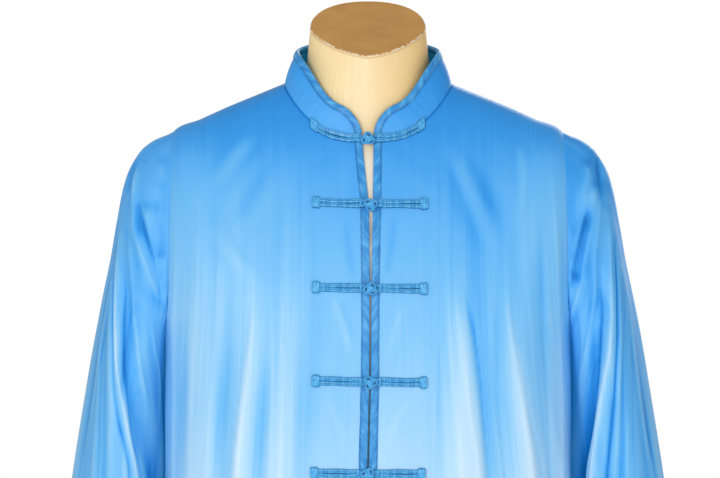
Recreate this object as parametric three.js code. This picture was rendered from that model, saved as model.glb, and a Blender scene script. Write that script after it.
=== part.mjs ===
// A tai chi jacket worn by a limbless display form that stands on a short pole and a round base.
//
// Millimetres, +Z up. The jacket's front faces -Y and its left sleeve, as a viewer sees it, is at -X.
// The origin is the centre of the base's underside. Heights of the cloth and the form are given from
// NECK_Z, the level where the shoulder seam meets the collar, so most of them are negative.
//
// The cloth is laid out in rings. Ring 0 is the neckline, ring 1 passes over the shoulder tips, ring 2
// passes under the arms and ring 3 is the hem. A turn of 0 degrees is the centre front, 90 is the
// shoulder and side seam, and 180 is the centre back.

import * as THREE from "three";

// ---- Driving dimensions ------------------------------------------------------------------------

const NECK_Z = 835; // height of the shoulder seam's neck end above the floor
const CLOTH = 1.2; // wall of the satin with its turnings
const SEAM_GAP = 0.3; // between pieces that are sewn together or rest on each other
const REST_GAP = 0.5; // between the cloth and the form's shoulders that carry it
const YOKE_EASE = [1.8, 0, 0, 0.4, 2.6]; // more room than that under the collar and at the armholes

const ARM_FRONT_TURN = 25; // how far the armhole reaches forward from the side, in degrees
const ARM_BACK_TURN = 27;
const CUFF_Z = -600; // from NECK_Z
const CUFF_TILT = 6; // the cuff's outer side is this much higher than its middle
const SLEEVE_SETTLES = 30; // drop over which a sleeve leaves the armhole's line

const COLLAR_WALL = 1.8; // two layers and a stiffener
const COLLAR_HEIGHT = { front: 28, side: 36, back: 34 };
const COLLAR_HEIGHT_RISE = 4; // how late it gains its height at the side on the way round the neck
const COLLAR_LEAN = { front: 4, side: 20, back: 9 }; // degrees towards the neck
const COLLAR_LEAN_RISE = 2;
const COLLAR_BOW = 1.6; // how far the collar's middle stands out from a straight lean
const COLLAR_CORNER = 26; // length of the rounded corner at the centre front
const COLLAR_END = 3; // height left at the very end of the rounded corner

const BINDING_WIDTH = 8.5; // satin binding on the collar's edge and the front edges
const BINDING_WALL = 0.9;
const BINDING_GAP = 0.6; // between the binding and the piece that it covers
const BINDING_BACK = 5; // how far the collar's binding turns over to the inside

const FROG_HEIGHTS = [-50, -110, -192, -285, -377, -469, -561]; // from NECK_Z
const FROG_START = 6.6; // from the centre front to the inner end of a strap
const FROG_REACH = 57.5; // from the centre front to the outer end of its tab
const NECK_FROG_DROP = 5; // the top frog follows the collar's seam, this far below it
const STRAP = { halfWidth: 4.6, edge: 1.1, crest: 2.3, groove: 1.6 };
const TAB = { halfWidth: 6.2, edge: 1.3, crest: 2.9, groove: 2.9, length: 6.5 };
const KNOT = { halfWidth: 6.6, halfDepth: 4.7, halfHeight: 6.2 };

const CAP = { thickness: 4, chamfer: 1 };
const FORM_BOTTOM = { z: -590, border: 6 };
const POLE_RADIUS = 12.5;
const BASE = { radius: 165, thickness: 12, bevel: 2.5 };
const HUB = { radius: 30, neckRadius: 17, height: 24 };

const COLOURS = {
  satin: 0x6db4f2,
  binding: 0x479fe0,
  frog: 0x3f97d6,
  form: 0xf6e0b4,
  cap: 0xb4884b,
  steel: 0xc4c7ca,
  base: 0xe8e8e6,
};

// ---- Tables ------------------------------------------------------------------------------------

// The cloth's rings: half width and height at the side, depth and height at the front and the back,
// and how square the ring is in plan, where 2 is an ellipse.
const CLOTH_RINGS = [
  { ring: 0.0, sideX: 84, sideZ: 0, frontY: -60, frontZ: -46, backY: 58, backZ: 7, square: 2.0 },
  { ring: 0.25, sideX: 112, sideZ: -11, frontY: -70, frontZ: -66, backY: 72, backZ: -7, square: 2.1 },
  { ring: 0.5, sideX: 140, sideZ: -22, frontY: -81, frontZ: -88, backY: 86, backZ: -26, square: 2.15 },
  { ring: 0.75, sideX: 168, sideZ: -34.5, frontY: -92, frontZ: -112, backY: 98, backZ: -55, square: 2.2 },
  { ring: 1.0, sideX: 196, sideZ: -48, frontY: -101, frontZ: -138, backY: 107, backZ: -90, square: 2.35 },
  { ring: 1.25, sideX: 210, sideZ: -90, frontY: -109, frontZ: -170, backY: 112, backZ: -132, square: 2.7 },
  { ring: 1.5, sideX: 214, sideZ: -151, frontY: -115, frontZ: -203, backY: 115, backZ: -175, square: 2.9 },
  { ring: 1.75, sideX: 211, sideZ: -207, frontY: -118, frontZ: -237, backY: 117, backZ: -218, square: 2.9 },
  { ring: 2.0, sideX: 205, sideZ: -258, frontY: -119, frontZ: -272, backY: 118, backZ: -264, square: 2.8 },
  { ring: 2.25, sideX: 204, sideZ: -365, frontY: -120, frontZ: -372, backY: 119, backZ: -368, square: 2.7 },
  { ring: 2.5, sideX: 204, sideZ: -480, frontY: -120, frontZ: -484, backY: 119, backZ: -482, square: 2.6 },
  { ring: 2.75, sideX: 206, sideZ: -597, frontY: -121, frontZ: -599, backY: 120, backZ: -598, square: 2.5 },
  { ring: 3.0, sideX: 209, sideZ: -715, frontY: -122, frontZ: -715, backY: 121, backZ: -715, square: 2.5 },
];

// The sleeve hangs from the shoulder: its outer and inner edges, its half depth and its middle.
const SLEEVE_LEVELS = [
  { z: -606, outX: 326, inX: 225, halfDepth: 54, midY: 0 },
  { z: -500, outX: 312, inX: 218, halfDepth: 64, midY: 3 },
  { z: -393, outX: 298, inX: 211, halfDepth: 75, midY: 4 },
  { z: -305, outX: 284, inX: 207.5, halfDepth: 80, midY: 4 },
  { z: -258, outX: 276, inX: 206.5, halfDepth: 78, midY: 3 },
  { z: -217, outX: 268, inX: 205, halfDepth: 74, midY: 3 },
  { z: -175, outX: 259, inX: 202, halfDepth: 69, midY: 2 },
  { z: -140, outX: 253, inX: 198, halfDepth: 65, midY: 1 },
  { z: -93, outX: 243, inX: 190, halfDepth: 60, midY: 0 },
  { z: -67, outX: 229, inX: 182, halfDepth: 56, midY: 0 },
  { z: -55, outX: 214, inX: 176, halfDepth: 54, midY: 0 },
  { z: -48, outX: 196, inX: 168, halfDepth: 52, midY: 0 },
];

// Folds of the fronts and the back: each runs down from one point to another and stands out, or in
// where its rise is below 0. Widths are half widths at the two ends, and X is counted from the middle
// towards the side.
const FRONT_FOLDS = {
  right: [
    { fromX: 84, fromZ: -150, toX: 110, toZ: -715, width: 13, toWidth: 24, rise: 6 },
    { fromX: 104, fromZ: -160, toX: 142, toZ: -715, width: 9, toWidth: 14, rise: -4 },
    { fromX: 132, fromZ: -140, toX: 178, toZ: -715, width: 13, toWidth: 19, rise: 5 },
  ],
  left: [
    { fromX: 82, fromZ: -165, toX: 90, toZ: -715, width: 10, toWidth: 14, rise: 4 },
    { fromX: 100, fromZ: -190, toX: 109, toZ: -715, width: 9, toWidth: 12, rise: -3 },
    { fromX: 118, fromZ: -150, toX: 138, toZ: -715, width: 13, toWidth: 20, rise: 5 },
    { fromX: 156, fromZ: -120, toX: 176, toZ: -715, width: 13, toWidth: 17, rise: 4 },
  ],
};
const BACK_FOLDS = [
  { fromX: 0, fromZ: -150, toX: 6, toZ: -715, width: 20, toWidth: 30, rise: 5 },
  { fromX: -88, fromZ: -150, toX: -104, toZ: -715, width: 18, toWidth: 28, rise: 6 },
  { fromX: 92, fromZ: -160, toX: 100, toZ: -715, width: 18, toWidth: 26, rise: 6 },
  { fromX: -140, fromZ: -170, toX: -152, toZ: -715, width: 13, toWidth: 18, rise: -5 },
  { fromX: 142, fromZ: -160, toX: 152, toZ: -715, width: 13, toWidth: 18, rise: -5 },
];

// Folds of a sleeve, from one turn round it and height to another. Here a turn of 0 is the sleeve's
// outer edge, 90 its front, 180 its inner edge and 270 its back. Widths are half widths in degrees.
const SLEEVE_FOLDS = {
  right: [
    { fromTurn: 52, fromZ: -120, toTurn: 122, toZ: -560, width: 20, rise: 8 },
    { fromTurn: 84, fromZ: -170, toTurn: 158, toZ: -480, width: 16, rise: -7 },
    { fromTurn: 22, fromZ: -140, toTurn: 88, toZ: -600, width: 14, rise: -6 },
    { fromTurn: 300, fromZ: -120, toTurn: 246, toZ: -560, width: 22, rise: 7 },
    { fromTurn: 268, fromZ: -170, toTurn: 212, toZ: -500, width: 18, rise: -6 },
  ],
  left: [
    { fromTurn: 30, fromZ: -120, toTurn: 126, toZ: -520, width: 19, rise: 8 },
    { fromTurn: 66, fromZ: -140, toTurn: 158, toZ: -440, width: 16, rise: -8 },
    { fromTurn: 10, fromZ: -180, toTurn: 84, toZ: -600, width: 14, rise: -5 },
    { fromTurn: 306, fromZ: -120, toTurn: 240, toZ: -560, width: 22, rise: 7 },
    { fromTurn: 276, fromZ: -170, toTurn: 216, toZ: -500, width: 18, rise: -6 },
  ],
};

// Half of the opening between the two fronts: it gapes at the neck and nearly closes lower down.
const OPENING = [
  { z: -715, half: 1.4 },
  { z: -300, half: 0.8 },
  { z: -192, half: 0.9 },
  { z: -112, half: 2.1 },
  { z: -62, half: 5.0 },
  { z: -40, half: 5.6 },
];

// The form's neck from its slanted top down to the jacket's neckline. plane is 1 where the ring is a
// plane cut and 0 where it dips at the front and back as the neckline does. Its front is more pointed
// than its back, whose squareness is in the column behind.
const NECK_RINGS = [
  { sideX: 58, sideZ: 59, frontY: -52, frontZ: 35, backY: 49, backZ: 81, square: 1.5, behind: 2.2, plane: 1 },
  { sideX: 59.5, sideZ: 42, frontY: -52, frontZ: 18, backY: 47, backZ: 63, square: 1.6, behind: 2.1, plane: 0.95 },
  { sideX: 61, sideZ: 26, frontY: -52, frontZ: 0, backY: 46, backZ: 46, square: 1.75, behind: 2, plane: 0.7 },
  { sideX: 64, sideZ: 13, frontY: -52, frontZ: -18, backY: 46, backZ: 30, square: 1.95, plane: 0.4 },
  { sideX: 71, sideZ: 4, frontY: -53, frontZ: -35, backY: 48.5, backZ: 18, square: 2, plane: 0.15 },
];

// The form's trunk below the shoulders, where the jacket hangs clear of it.
const TRUNK_RINGS = [
  { sideX: 190.5, sideZ: -62, frontY: -102.5, frontZ: -152, backY: 107, backZ: -108, square: 2.3 },
  { sideX: 186, sideZ: -92, frontY: -107, frontZ: -176, backY: 109.5, backZ: -136, square: 2.4 },
  { sideX: 177, sideZ: -130, frontY: -111, frontZ: -202, backY: 112, backZ: -168, square: 2.5 },
  { sideX: 169, sideZ: -178, frontY: -113, frontZ: -230, backY: 112, backZ: -206, square: 2.5 },
  { sideX: 161, sideZ: -235, frontY: -110, frontZ: -268, backY: 107, backZ: -252, square: 2.45 },
  { sideX: 151, sideZ: -305, frontY: -103, frontZ: -320, backY: 98, backZ: -312, square: 2.4 },
  { sideX: 143, sideZ: -385, frontY: -96, frontZ: -388, backY: 88, backZ: -385, square: 2.3 },
  { sideX: 149, sideZ: -460, frontY: -97, frontZ: -460, backY: 95, backZ: -460, square: 2.3 },
  { sideX: 160, sideZ: -530, frontY: -100, frontZ: -530, backY: 103, backZ: -530, square: 2.3 },
  { sideX: 163, sideZ: -582, frontY: -101, frontZ: -582, backY: 104, backZ: -582, square: 2.3 },
];

// ---- Numbers and tables ------------------------------------------------------------------------

const RING_DIP = 3; // how late a ring dips from its height at the side to that at the front or back
const ARC_STEPS = 48; // for measuring along a ring
const SEARCH_STEPS = 40; // for finding the ring at a height

const { clamp, degToRad, lerp, radToDeg } = THREE.MathUtils;
const smooth = (t) => THREE.MathUtils.smoothstep(t, 0, 1);
const shares = (count) => Array.from({ length: count + 1 }, (_, i) => i / count);
const vector = (x, y, z) => new THREE.Vector3(x, y, z);

/** One column of a table at a place along its rows, as a smooth curve through them. */
function valueAt(rows, along, column, place) {
  const last = rows.length - 1;
  let i = 0;
  while (i < last - 1 && place > rows[i + 1][along]) i += 1;
  const slope = (k) => {
    const [before, after] = [rows[Math.max(k - 1, 0)], rows[Math.min(k + 1, last)]];
    return (after[column] - before[column]) / (after[along] - before[along]);
  };
  const span = rows[i + 1][along] - rows[i][along];
  const t = clamp((place - rows[i][along]) / span, 0, 1);
  const bend = t * (1 - t) * ((1 - t) * slope(i) - t * slope(i + 1));
  const lift = (2 * t - 1) * t * (1 - t) * (rows[i + 1][column] - rows[i][column]);
  return lerp(rows[i][column], rows[i + 1][column], t) + lift + span * bend;
}

/** A soft bump that is 1 at 0 and falls to 0 at two half widths. */
const bump = (distance) => (Math.abs(distance) < 2 ? Math.cos((distance * Math.PI) / 4) ** 2 : 0);

/** How far a table of folds moves the cloth, at a place across and a height. */
function foldHeight(folds, place, z, from, to) {
  return folds.reduce((sum, fold) => {
    const t = (fold.fromZ - z) / (fold.fromZ - fold.toZ);
    const middle = lerp(fold[from], fold[to], t);
    const width = lerp(fold.width, fold.toWidth ?? fold.width, clamp(t, 0, 1));
    return sum + fold.rise * smooth(t / 0.25) * bump((place - middle) / width);
  }, 0);
}

// ---- Surfaces ----------------------------------------------------------------------------------

/** A point of a ring on the +X side. */
function ringPoint(row, turn) {
  const across = Math.sin(degToRad(turn));
  const along = Math.abs(Math.cos(degToRad(turn)));
  const isFront = turn < 90;
  const power = 2 / (isFront ? row.square : (row.behind ?? row.square));
  const y = (isFront ? row.frontY : row.backY) * along ** power;
  const dipped = lerp(isFront ? row.frontZ : row.backZ, row.sideZ, across ** RING_DIP);
  const depthShare = (y - row.frontY) / (row.backY - row.frontY);
  const plane = lerp(row.frontZ, row.backZ, depthShare);
  return vector(row.sideX * across ** power, y, lerp(dipped, plane, row.plane ?? 0));
}

/** The cloth's ring between two rows of its table. */
function clothRing(ring) {
  const columns = ["sideX", "sideZ", "frontY", "frontZ", "backY", "backZ", "square"];
  return Object.fromEntries(columns.map((name) => [name, valueAt(CLOTH_RINGS, "ring", name, ring)]));
}

/** The turn of a ring where it is this far from the middle. */
const turnAtX = (row, x) => radToDeg(Math.asin(clamp(x / row.sideX, 0, 1) ** (row.square / 2)));

/** Turns that share out the length of a ring between two turns. */
function turnsBetween(row, from, to, wanted) {
  const turns = shares(ARC_STEPS).map((t) => lerp(from, to, t));
  const points = turns.map((turn) => ringPoint(row, turn));
  const lengths = [0];
  points.slice(1).forEach((point, i) => lengths.push(lengths[i] + point.distanceTo(points[i])));
  return wanted.map((share) => {
    const length = share * lengths.at(-1);
    const i = clamp(lengths.findIndex((l) => l >= length), 1, ARC_STEPS);
    const t = (length - lengths[i - 1]) / (lengths[i] - lengths[i - 1]);
    return lerp(turns[i - 1], turns[i], t);
  });
}

/** Turns across a panel from its middle to its side, the outer ones drawn in by the armhole. */
function panelTurns(row, middle, side, armhole, columns) {
  const whole = turnsBetween(row, middle, side, columns);
  const cut = turnsBetween(row, middle, armhole, columns);
  return whole.map((turn, j) => lerp(turn, cut[j], smooth((columns[j] - 0.3) / 0.7)));
}

/** How far the armhole opens at a ring: 0 at the shoulder tip and the underarm, 1 halfway. */
const armholeShare = (ring) => (ring > 1 && ring < 2 ? 2 * Math.sqrt((ring - 1) * (2 - ring)) : 0);

/** The turn where a front's cloth starts, inside its binding. */
function frontEdgeTurn(row) {
  const half = valueAt(OPENING, "z", "half", row.frontZ);
  return turnAtX(row, half + BINDING_WALL + BINDING_GAP);
}

/** Unit normals of a grid of points, facing away from the grid's middle. */
function normalsOf(grid, isRound) {
  const columns = grid[0].length;
  const neighbour = (row, j) => row[isRound ? (j + columns) % columns : clamp(j, 0, columns - 1)];
  const normals = grid.map((row, i) =>
    row.map((_, j) => {
      const across = neighbour(row, j + 1).clone().sub(neighbour(row, j - 1));
      const down = grid[Math.min(i + 1, grid.length - 1)][j].clone().sub(grid[Math.max(i - 1, 0)][j]);
      return down.cross(across).normalize();
    }),
  );
  const all = grid.flat();
  const middle = all.reduce((sum, p) => sum.add(p), vector(0, 0, 0)).divideScalar(all.length);
  const facing = normals.flat().reduce((sum, n, i) => sum + n.dot(all[i].clone().sub(middle)), 0);
  normals.flat().forEach((n) => n.multiplyScalar(Math.sign(facing)));
  return normals;
}

/** A grid of points moved along its normals by what distance(row, column) says. */
function movedOut(grid, isRound, distance) {
  const normals = normalsOf(grid, isRound);
  return grid.map((row, i) =>
    row.map((point, j) => point.clone().addScaledVector(normals[i][j], distance(i, j))),
  );
}

// ---- Solids ------------------------------------------------------------------------------------

/** A mesh from points and triangles, turned so that its faces point out. */
function solid(name, points, triangles, material) {
  const volume = triangles.reduce(
    (sum, [a, b, c]) => sum + points[a].dot(points[b].clone().cross(points[c])),
    0,
  );
  const faces = volume < 0 ? turnedOver(triangles) : triangles;
  const geometry = new THREE.BufferGeometry().setFromPoints(points);
  geometry.setIndex(faces.flat());
  geometry.computeVertexNormals();
  const mesh = new THREE.Mesh(geometry, material);
  mesh.name = name;
  return mesh;
}

/** Two triangles for each cell between two rows of point numbers. */
function band(upper, lower, isRound) {
  const count = isRound ? upper.length : upper.length - 1;
  return Array.from({ length: count }, (_, j) => {
    const k = (j + 1) % upper.length;
    return [
      [upper[j], lower[j], lower[k]],
      [upper[j], lower[k], upper[k]],
    ];
  }).flat();
}

/** The same triangles facing the other way. */
const turnedOver = (triangles) => triangles.map(([a, b, c]) => [a, c, b]);

/** A closed wall between an outer grid of points and an inner one. */
function wallBetween(name, outer, inner, isRound, material) {
  const columns = outer[0].length;
  const last = outer.length - 1;
  const size = outer.length * columns;
  const row = (i, start) => Array.from({ length: columns }, (_, j) => start + i * columns + j);
  const column = (j, start) => outer.map((_, i) => start + i * columns + j);
  const triangles = [];
  for (let i = 0; i < last; i += 1) {
    triangles.push(...band(row(i, 0), row(i + 1, 0), isRound));
    triangles.push(...turnedOver(band(row(i, size), row(i + 1, size), isRound)));
  }
  triangles.push(...band(row(0, size), row(0, 0), isRound));
  triangles.push(...band(row(last, 0), row(last, size), isRound));
  if (!isRound) {
    triangles.push(...band(column(0, 0), column(0, size), false));
    triangles.push(...band(column(columns - 1, size), column(columns - 1, 0), false));
  }
  return solid(name, [...outer.flat(), ...inner.flat()], triangles, material);
}

/** A closed panel of cloth behind an outer face, with its seam columns cut square to the seam. */
function clothPanel(name, outer, seamColumns, side, material) {
  const inner = movedOut(outer, false, () => -CLOTH);
  inner.forEach((row, i) => seamColumns.forEach((j) => (row.at(j).y = outer[i].at(j).y)));
  return wallBetween(name, placed(outer, side), placed(inner, side), false, material);
}

/** A closed tube of cloth inside an outer face, with its first row cut square to the armhole. */
function clothTube(name, outer, side, material) {
  const inner = movedOut(outer, true, () => -CLOTH);
  inner[0].forEach((point, j) => (point.x = Math.max(point.x, outer[0][j].x)));
  return wallBetween(name, placed(outer, side), placed(inner, side), true, material);
}

/** A closed solid through rings of points, with a flat end on the first and the last. */
function loft(name, rings, material) {
  const count = rings[0].length;
  const points = rings.flat();
  const row = (i) => Array.from({ length: count }, (_, j) => i * count + j);
  const triangles = [];
  for (let i = 0; i < rings.length - 1; i += 1) triangles.push(...band(row(i), row(i + 1), true));
  const close = (ring, edge) => {
    const middle = ring.reduce((sum, p) => sum.add(p), vector(0, 0, 0)).divideScalar(count);
    const centre = points.push(middle) - 1;
    edge.forEach((a, j) => triangles.push([centre, a, edge[(j + 1) % count]]));
  };
  close(rings[0], row(0));
  close(rings.at(-1), row(rings.length - 1).reverse());
  return solid(name, points, triangles, material);
}

/** Points of a grid, moved to one side of the body and up to their height above the floor. */
const placed = (grid, side) => grid.map((row) => row.map((p) => vector(p.x * side, p.y, p.z + NECK_Z)));

const finish = (color, roughness, metalness = 0) =>
  new THREE.MeshStandardMaterial({ color, roughness, metalness });

// ---- Jacket panels -----------------------------------------------------------------------------

const satin = finish(COLOURS.satin, 0.4);
const SIDES = { right: 1, left: -1 };
const FRONT_COLUMNS = [0, 0.1, 0.21, 0.28, 0.35, 0.42, 0.49, 0.56, 0.63, 0.7, 0.78, 0.86, 0.93, 1];
const BACK_COLUMNS = shares(12); // from the centre back to the side
const YOKE_ROWS = [0, 0.25, 0.5, 0.75, 1];
const BODY_ROWS = [1.02, 1.08, 1.2, 1.36, 1.5, 1.64, 1.8, 1.92, 2, 2.12, 2.28, 2.46, 2.64, 2.82, 3];
const PANEL_ROWS = [...YOKE_ROWS, ...BODY_ROWS];
const CALM_EDGE = 0.12; // share of a panel next to its side seam that its folds leave flat

/** A front's outer face on the +X side, from the centre front to the side. */
function frontFace(side, rows) {
  const flat = rows.map((ring) => {
    const row = clothRing(ring);
    const armhole = 90 - ARM_FRONT_TURN * armholeShare(ring);
    return panelTurns(row, frontEdgeTurn(row), 90, armhole, FRONT_COLUMNS).map((t) => ringPoint(row, t));
  });
  const folded = movedOut(flat, false, (i, j) => {
    const { x, z } = flat[i][j];
    const calm = smooth((1 - FRONT_COLUMNS[j]) / CALM_EDGE);
    return calm * foldHeight(FRONT_FOLDS[side], x, z, "fromX", "toX");
  });
  folded.forEach((row) => (row.at(-1).y -= SEAM_GAP / 2));
  return folded;
}

/** The whole back's outer face, from the +X side to the -X side. */
function backFace(rows) {
  const flat = rows.map((ring) => {
    const row = clothRing(ring);
    const armhole = 90 + ARM_BACK_TURN * armholeShare(ring);
    const turns = panelTurns(row, 180, 90, armhole, BACK_COLUMNS).reverse();
    const half = turns.map((turn) => ringPoint(row, turn));
    const mirrored = half.slice(0, -1).map((p) => vector(-p.x, p.y, p.z));
    return [...half, ...mirrored.reverse()];
  });
  const last = flat[0].length - 1;
  const folded = movedOut(flat, false, (i, j) => {
    const { x, z } = flat[i][j];
    const calm = smooth(Math.min(j, last - j) / last / (CALM_EDGE / 2));
    return calm * foldHeight(BACK_FOLDS, x, z, "fromX", "toX");
  });
  folded.forEach((row) => [row[0], row[last]].forEach((p) => (p.y += SEAM_GAP / 2)));
  return folded;
}

const SLEEVE_TURNS = shares(20).slice(0, -1).map((t) => 360 * t);
const SLEEVE_ROWS = [0, 0.03, 0.07, 0.13, 0.2, 0.28, 0.37, 0.47, 0.58, 0.7, 0.84, 1];

/** The plain oval of a sleeve at a height. */
function sleevePoint(turn, z) {
  const [outX, inX, halfDepth, midY] = ["outX", "inX", "halfDepth", "midY"].map((name) =>
    valueAt(SLEEVE_LEVELS, "z", name, z),
  );
  const [across, forward] = [Math.cos(degToRad(turn)), Math.sin(degToRad(turn))];
  return vector((outX + inX) / 2 + ((outX - inX) / 2) * across, midY - halfDepth * forward, z);
}

/** The armhole's seam at a turn round the sleeve. */
function armholePoint(turn) {
  const ring = 1 + (1 - Math.cos(degToRad(turn))) / 2;
  const swing = Math.abs(Math.sin(degToRad(turn)));
  const reach = turn <= 180 ? -ARM_FRONT_TURN : ARM_BACK_TURN;
  return ringPoint(clothRing(ring), 90 + reach * swing);
}

/** A sleeve's outer face on the +X side: lines from the armhole down to the cuff. */
function sleeveFace(side) {
  const seams = SLEEVE_TURNS.map((turn) => armholePoint(turn));
  const flat = SLEEVE_ROWS.map((share) =>
    SLEEVE_TURNS.map((turn, j) => {
      const seam = seams[j];
      const z = lerp(seam.z, CUFF_Z + CUFF_TILT * Math.cos(degToRad(turn)), share);
      const start = seam.clone().sub(sleevePoint(turn, seam.z));
      return sleevePoint(turn, z).addScaledVector(start, Math.exp((z - seam.z) / SLEEVE_SETTLES));
    }),
  );
  const folded = movedOut(flat, true, (i, j) =>
    foldHeight(SLEEVE_FOLDS[side], SLEEVE_TURNS[j], flat[i][j].z, "fromTurn", "toTurn"),
  );
  folded[0].forEach((p) => (p.x += 1.5 * SEAM_GAP));
  return folded;
}

function jacketPanels() {
  const panels = [clothPanel("back", backFace(PANEL_ROWS), [0, -1], 1, satin)];
  for (const [name, side] of Object.entries(SIDES)) {
    panels.push(clothPanel(`front_${name}`, frontFace(name, PANEL_ROWS), [-1], side, satin));
    panels.push(clothTube(`sleeve_${name}`, sleeveFace(name), side, satin));
  }
  return panels;
}

// ---- Collar and bindings -----------------------------------------------------------------------

const bindingSatin = finish(COLOURS.binding, 0.42);
const COLLAR_STATIONS = [0, 1.5, 4, 8, 13, 20, 28, 39, 51, 63, 75, 87, 99, 111, 124, 138, 153, 170, 188, 206];
const COLLAR_ROWS = shares(4);

/** A value that changes round the neck, from its front, side and back sizes. */
function roundNeck({ front, side, back }, rise, turn) {
  return lerp(turn < 90 ? front : back, side, Math.sin(degToRad(turn)) ** rise);
}

/** The collar's outer face from the centre front round to the other end. */
function collarFace() {
  const neckline = clothRing(0);
  const from = frontEdgeTurn(neckline);
  const seamTurns = turnsBetween(neckline, from, 180, shares(ARC_STEPS));
  const seam = seamTurns.map((turn) => ringPoint(neckline, turn));
  const half = seam.slice(1).reduce((sum, p, i) => sum + p.distanceTo(seam[i]), 0);
  const stations = [...COLLAR_STATIONS, half];
  const turns = turnsBetween(neckline, from, 180, stations.map((d) => d / half));
  const corners = stations.map((d) => clamp(1 - d / COLLAR_CORNER, 0, 1));
  const columns = turns.map((turn, j) => {
    const [before, after] = [turn - 0.5, Math.min(turn + 0.5, 180)];
    const along = ringPoint(neckline, after).sub(ringPoint(neckline, before)).normalize();
    const outward = vector(along.y, -along.x, 0).normalize();
    const lean = degToRad(roundNeck(COLLAR_LEAN, COLLAR_LEAN_RISE, turn));
    const up = vector(0, 0, Math.cos(lean)).addScaledVector(outward, -Math.sin(lean));
    up.addScaledVector(along, -up.dot(along)).normalize();
    const rounded = (1 - corners[j] ** 1.8) ** 0.625;
    const height = Math.max(COLLAR_END, roundNeck(COLLAR_HEIGHT, COLLAR_HEIGHT_RISE, turn) * rounded);
    const foot = ringPoint(neckline, turn).addScaledVector(up, 1.5 * SEAM_GAP);
    return COLLAR_ROWS.map((t) => {
      const bow = COLLAR_BOW * 4 * t * (1 - t) * smooth(1 - corners[j]);
      return foot.clone().addScaledVector(up, t * height).addScaledVector(outward, bow);
    });
  });
  const rows = COLLAR_ROWS.map((_, i) => columns.map((column) => column[i])).reverse();
  const mirrored = (row) => row.slice(0, -1).map((p) => vector(-p.x, p.y, p.z));
  return {
    face: rows.map((row) => [...row, ...mirrored(row).reverse()]),
    corners: [...corners, ...corners.slice(0, -1).reverse()],
  };
}

/** Points round an edge that a binding covers, offsets being into the piece and out of its face. */
function bindingRows(edge, into, normals, offsets) {
  return edge.map((point, i) =>
    offsets.map(([inward, out]) =>
      point.clone().addScaledVector(into[i], inward).addScaledVector(normals[i], out),
    ),
  );
}

function collarPieces() {
  const { face, corners } = collarFace();
  const inner = movedOut(face, false, () => -COLLAR_WALL);
  const normals = normalsOf(face, false)[0];
  const edge = face[0];
  const last = edge.length - 1;
  const into = edge.map((point, j) => {
    const along = edge[Math.min(j + 1, last)].clone().sub(edge[Math.max(j - 1, 0)]);
    const down = face[1][j].clone().sub(point).normalize();
    const square = along.cross(normals[j]).normalize();
    square.multiplyScalar(Math.sign(square.dot(down)));
    return down.lerp(square, smooth(corners[j] * 3)).normalize();
  });
  const skin = BINDING_GAP + BINDING_WALL;
  const leaf = BINDING_WIDTH - skin;
  const outer = bindingRows(edge, into, normals, [
    [leaf, skin],
    [-skin, skin],
    [-skin, -COLLAR_WALL - skin],
    [BINDING_BACK, -COLLAR_WALL - skin],
  ]);
  const lining = bindingRows(edge, into, normals, [
    [leaf, BINDING_GAP],
    [-BINDING_GAP, BINDING_GAP],
    [-BINDING_GAP, -COLLAR_WALL - BINDING_GAP],
    [BINDING_BACK, -COLLAR_WALL - BINDING_GAP],
  ]);
  return [
    wallBetween("collar", placed(face, 1), placed(inner, 1), false, satin),
    wallBetween("collar_binding", placed(outer, 1), placed(lining, 1), false, bindingSatin),
  ];
}

/** The satin binding on the centre edge of a front, made from the edge's own points. */
function frontBinding(name, side) {
  const face = frontFace(name, PANEL_ROWS);
  const normals = normalsOf(face, false).map((row) => row[0]);
  const edge = face.map((row) => row[0].clone());
  edge[0].lerp(edge[1], 0.06);
  const into = face.map((row) => row[1].clone().sub(row[0]).normalize());
  const skin = BINDING_GAP + BINDING_WALL;
  const leaf = BINDING_WIDTH - skin;
  const outer = bindingRows(edge, into, normals, [[leaf, skin], [-skin, skin], [-skin, -CLOTH]]);
  const lining = bindingRows(edge, into, normals, [
    [leaf, BINDING_GAP],
    [-BINDING_GAP, BINDING_GAP],
    [-BINDING_GAP, -CLOTH],
  ]);
  return wallBetween(`binding_${name}`, placed(outer, side), placed(lining, side), false, bindingSatin);
}

// ---- Frog fastenings ---------------------------------------------------------------------------

const cord = finish(COLOURS.frog, 0.45);
const STRAP_SECTION = [-1, -0.98, -0.55, 0, 0.55, 0.98, 1];

/** The point of the smooth front at a distance from the middle and a height. */
function frontPoint(x, z) {
  let [high, low] = [0, 3];
  for (let step = 0; step < SEARCH_STEPS; step += 1) {
    const ring = (high + low) / 2;
    const row = clothRing(ring);
    const point = ringPoint(row, turnAtX(row, x));
    if (point.z > z) high = ring;
    else low = ring;
  }
  const row = clothRing(high);
  return ringPoint(row, turnAtX(row, x));
}

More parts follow.
